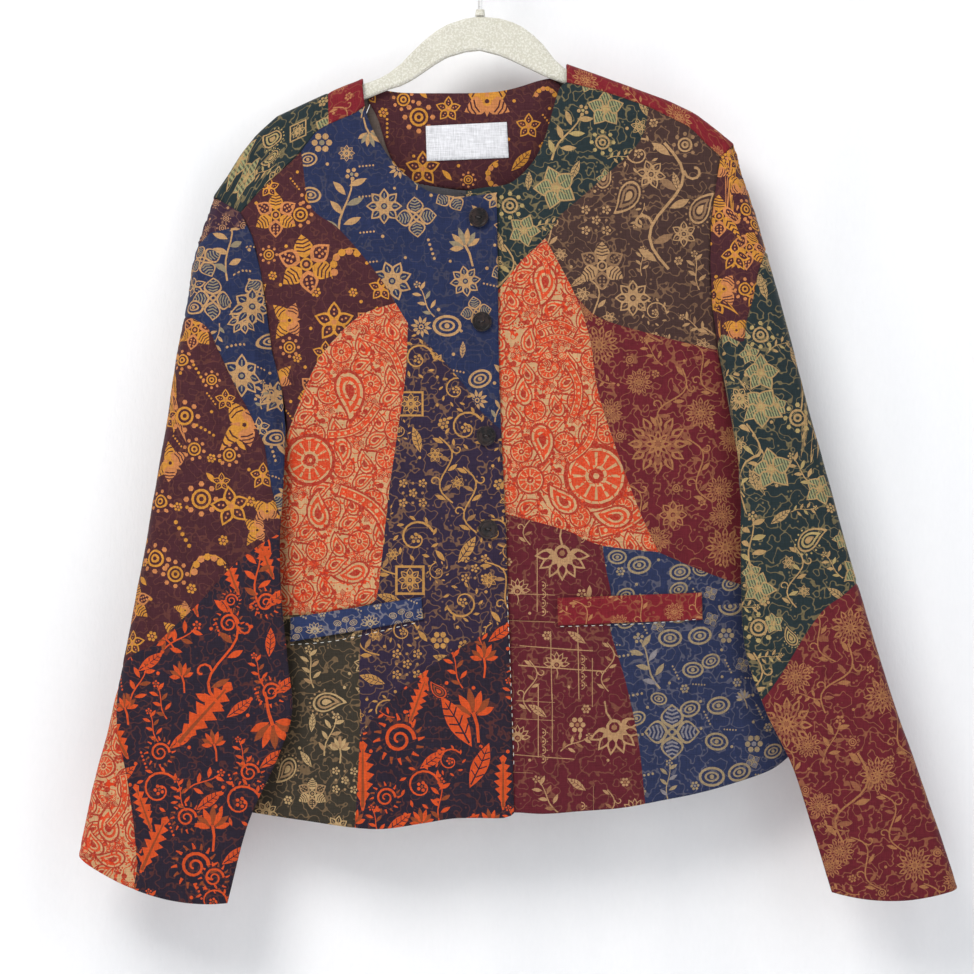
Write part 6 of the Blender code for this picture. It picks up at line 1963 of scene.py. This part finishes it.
def makeButtons():
    # one button is turned, dished and drilled, then copied
    deselect()
    bpy.ops.mesh.primitive_cylinder_add(vertices=56, radius=button["radius"] * mm, depth=button["thick"] * mm)
    first = bpy.context.object
    bpy.ops.object.mode_set(mode="EDIT")
    bpy.ops.mesh.select_all(action="DESELECT")
    bpy.ops.object.mode_set(mode="OBJECT")
    for face in first.data.polygons:
        face.select = face.normal.z > 0.9
    bpy.ops.object.mode_set(mode="EDIT")
    bpy.ops.mesh.inset(thickness=button["rim"] * mm)
    bpy.ops.mesh.inset(thickness=0.5 * mm)
    bpy.ops.transform.translate(value=(0, 0, -button["dish"] * mm))
    bpy.ops.mesh.inset(thickness=2.2 * mm)
    bpy.ops.transform.translate(value=(0, 0, 0.15 * mm))
    bpy.ops.object.mode_set(mode="OBJECT")
    for side in (-1, 1):
        deselect()
        bpy.ops.mesh.primitive_cylinder_add(vertices=20, radius=button["holes"] * mm, depth=8 * mm,
                                            location=(side * button["holesApart"] / 2 * mm, 0, 0))
        drill = bpy.context.object
        deselect()
        first.select_set(True)
        bpy.context.view_layer.objects.active = first
        cut = first.modifiers.new("hole", "BOOLEAN")
        cut.object = drill
        cut.solver = "EXACT"
        bpy.ops.object.modifier_apply(modifier="hole")
        bpy.data.objects.remove(drill, do_unlink=True)
    soft = first.modifiers.new("soft", "BEVEL")
    soft.width = 0.32 * mm
    soft.segments = 3
    soft.limit_method = "ANGLE"
    soft.angle_limit = math.radians(32)
    bpy.ops.object.modifier_apply(modifier="soft")
    bpy.ops.object.shade_smooth_by_angle(angle=math.radians(40))
    # the thread that crosses between the holes
    deselect()
    bpy.ops.mesh.primitive_torus_add(
        major_segments=20, minor_segments=8, major_radius=button["holesApart"] / 2 * mm,
        minor_radius=0.42 * mm, rotation=(math.pi / 2, 0, 0), location=(0, 0, 0.2 * mm))
    thread = bpy.context.object
    bpy.ops.object.transform_apply(location=True, rotation=True, scale=True)
    bpy.ops.object.shade_smooth()
    material, cord = buttonMaterial(), threadDark()
    turnUp = mathutils.Matrix.Rotation(math.pi / 2, 4, "X")
    for number, (x, z) in enumerate(button["places"], 1):
        reach = np.array([(x + dx, z + dz) for dx in (-8.0, 0.0, 8.0) for dz in (-8.0, 0.0, 8.0)])
        proud = onFront(reach)[0][:, 1].min() - button["clear"] - button["thick"] / 2
        turnOver = mathutils.Matrix.Rotation(math.radians(12 * math.sin(number * 2.2)), 4, "Y")
        placed = mathutils.Matrix.Translation((x * mm, proud * mm, z * mm)) @ turnOver @ turnUp
        body = bpy.data.objects.new("button", first.data.copy())
        body.data.transform(placed)
        bpy.context.scene.collection.objects.link(body)
        finishPiece(body, material, f"button_face_{number}", (f"button_{number}",))
        tie = bpy.data.objects.new("tie", thread.data.copy())
        tie.data.transform(placed)
        bpy.context.scene.collection.objects.link(tie)
        finishPiece(tie, cord, f"button_thread_{number}", ())
    bpy.data.objects.remove(first, do_unlink=True)
    bpy.data.objects.remove(thread, do_unlink=True)
    print("buttons")


def threadDark():
    material, tree, shader = newMaterial("darkThread", **{"Roughness": 0.6})
    where = objectPlace(tree)
    shade = noise(tree, where, 1500.0, 1.0)
    tint(tree, shader, shade, (0.02, 0.016, 0.02), (0.09, 0.075, 0.07))
    return material


makeButtons()


def flockedMaterial():
    material, tree, shader = newMaterial("flockedCream")
    shader.inputs["Sheen Weight"].default_value = 0.5
    shader.inputs["Sheen Roughness"].default_value = 0.4
    where = objectPlace(tree)
    cloud = noise(tree, where, 45.0, 4.0, 0.65)
    speck = ramp(tree, noise(tree, where, 620.0, 1.0, 0.5), 0.42, 0.66)
    pile = noise(tree, where, 2600.0, 2.0, 0.6)
    base = mixColour(tree, cloud, (0.48, 0.455, 0.365, 1.0), (0.67, 0.65, 0.56, 1.0))
    base = mixColour(tree, math2(tree, "MULTIPLY", speck, 0.55), base, (0.82, 0.81, 0.75, 1.0))
    link(tree, base, shader.inputs["Base Color"])
    link(tree, math2(tree, "MULTIPLY_ADD", pile, 0.2, 0.78), shader.inputs["Roughness"])
    addBump(tree, shader, math2(tree, "ADD", pile, math2(tree, "MULTIPLY", speck, 0.8)), 0.5, 0.0006)
    return material


def wireMaterial():
    material, tree, shader = newMaterial("brightWire", **{"Metallic": 1.0})
    where = objectPlace(tree)
    streak = noise(tree, stretched(tree, where, (40.0, 40.0, 900.0)), 1.0, 3.0, 0.6)
    tint(tree, shader, streak, (0.5, 0.5, 0.5), (0.72, 0.71, 0.69))
    link(tree, math2(tree, "MULTIPLY_ADD", streak, 0.25, 0.18), shader.inputs["Roughness"])
    return material


hangerLook = {"hanger_body": flockedMaterial(), "hook_collar": flockedMaterial(), "hook": wireMaterial()}
for nodeName, look in hangerLook.items():
    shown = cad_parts[nodeName]
    shown.data.materials.clear()
    shown.data.materials.append(look)
print("hanger")

stageForm = {"wall": 0.055, "floor": -0.93, "wide": 6.0}


def stageMaterial(name, low, high, seenThrough):
    material, tree, shader = newMaterial(name, **{"Roughness": 0.95, "Specular IOR Level": 0.1})
    where = objectPlace(tree)
    cloud = noise(tree, where, 3.0, 3.0)
    slub = noise(tree, stretched(tree, where, (260.0, 1.0, 90.0)), 1.0, 2.0, 0.7)
    # painted shade: soft darker streaks, long down the backdrop, stand in for the shade in the folds of the
    # hanging cloth; the floor gets the same streaks
    foldShadeStreaks = noise(tree, stretched(tree, where, (7.0, 1.0, 0.9)), 1.0, 2.0, 0.6)
    shade = math2(tree, "MULTIPLY_ADD", slub, 0.25, math2(tree, "MULTIPLY", cloud, 0.25))
    # the painted fold shade lowers the colour along its streaks
    shade = math2(tree, "ADD", shade, math2(tree, "MULTIPLY", ramp(tree, foldShadeStreaks, 0.3, 0.62), 0.5))
    tint(tree, shader, shade, low, high)
    addBump(tree, shader, slub, 0.35, 0.0008)
    if seenThrough:
        # from behind, the backdrop neither hides the jacket nor keeps light off its back
        clear, blend = tree.nodes.new("ShaderNodeBsdfTransparent"), tree.nodes.new("ShaderNodeMixShader")
        path, side = tree.nodes.new("ShaderNodeLightPath"), tree.nodes.new("ShaderNodeNewGeometry")
        away = side.outputs["Backfacing"]
        hides = math2(tree, "MULTIPLY", path.outputs["Is Camera Ray"], away)
        lets = math2(tree, "MULTIPLY", path.outputs["Is Shadow Ray"], math2(tree, "SUBTRACT", 1.0, away))
        link(tree, math2(tree, "ADD", hides, lets), blend.inputs[0])
        link(tree, shader.outputs[0], blend.inputs[1])
        link(tree, clear.outputs[0], blend.inputs[2])
        link(tree, blend.outputs[0], tree.nodes["Material Output"].inputs["Surface"])
    return material


def makeStage():
    deselect()
    height = stageForm["floor"] + stageForm["wide"] / 2
    bpy.ops.mesh.primitive_plane_add(size=stageForm["wide"], rotation=(math.pi / 2, 0, 0),
                                     location=(0, stageForm["wall"], height))
    wall = bpy.context.object
    bpy.ops.object.transform_apply(location=True, rotation=True, scale=True)
    wall.name = "backdrop"
    wall.data.materials.append(stageMaterial("paleCloth", (0.8, 0.81, 0.83), (0.93, 0.93, 0.94), True))
    bpy.ops.mesh.primitive_plane_add(size=stageForm["wide"], location=(0, 0, stageForm["floor"]))
    floor = bpy.context.object
    bpy.ops.object.transform_apply(location=True, rotation=True, scale=True)
    floor.name = "floor"
    floor.data.materials.append(stageMaterial("paleFloor", (0.8, 0.8, 0.81), (0.9, 0.9, 0.9), False))


light = {
    "key": ((-0.9, -1.7, 1), 1, 39, (1, 0.985, 0.96)),
    "fill": ((1.4, -1.8, 0.2), 1.6, 12, (0.95, 0.97, 1)),
    "low": ((0, -2, -1), 1.2, 3, (0.94, 0.97, 1)),
    "rear": ((0.5, 2, 0.5), 1.6, 26, (1, 0.99, 0.98)), "world": 0.4,
}


def makeLights():
    aim = Vector((0.0, 0.0, -0.45))
    for name in ("key", "fill", "low", "rear"):
        place, size, power, colour = light[name]
        lamp = bpy.data.lights.new(name, "AREA")
        lamp.size = size
        lamp.energy = power
        lamp.color = colour
        holder = bpy.data.objects.new(name, lamp)
        holder.location = place
        holder.rotation_euler = (aim - Vector(place)).to_track_quat("-Z", "Y").to_euler()
        holder.visible_camera = False
        bpy.context.scene.collection.objects.link(holder)
    world = bpy.data.worlds.new("studio")
    world.use_nodes = True
    world.node_tree.nodes["Background"].inputs["Color"].default_value = (0.93, 0.96, 1.0, 1.0)
    world.node_tree.nodes["Background"].inputs["Strength"].default_value = light["world"]
    bpy.context.scene.world = world


view = {"middle": (0.0057, -0.4576), "away": 2.2, "across": 0.7987, "plane": -0.02}


def makeCamera():
    camera = bpy.data.cameras.new("camera")
    camera.sensor_width = 36.0
    camera.lens = 36.0 * view["away"] / view["across"]
    holder = bpy.data.objects.new("camera", camera)
    holder.location = (view["middle"][0], view["plane"] - view["away"], view["middle"][1])
    holder.rotation_euler = (math.pi / 2, 0.0, 0.0)
    bpy.context.scene.collection.objects.link(holder)
    bpy.context.scene.camera = holder
    bpy.context.scene.view_settings.view_transform = "Standard"


makeStage()
makeLights()
makeCamera()
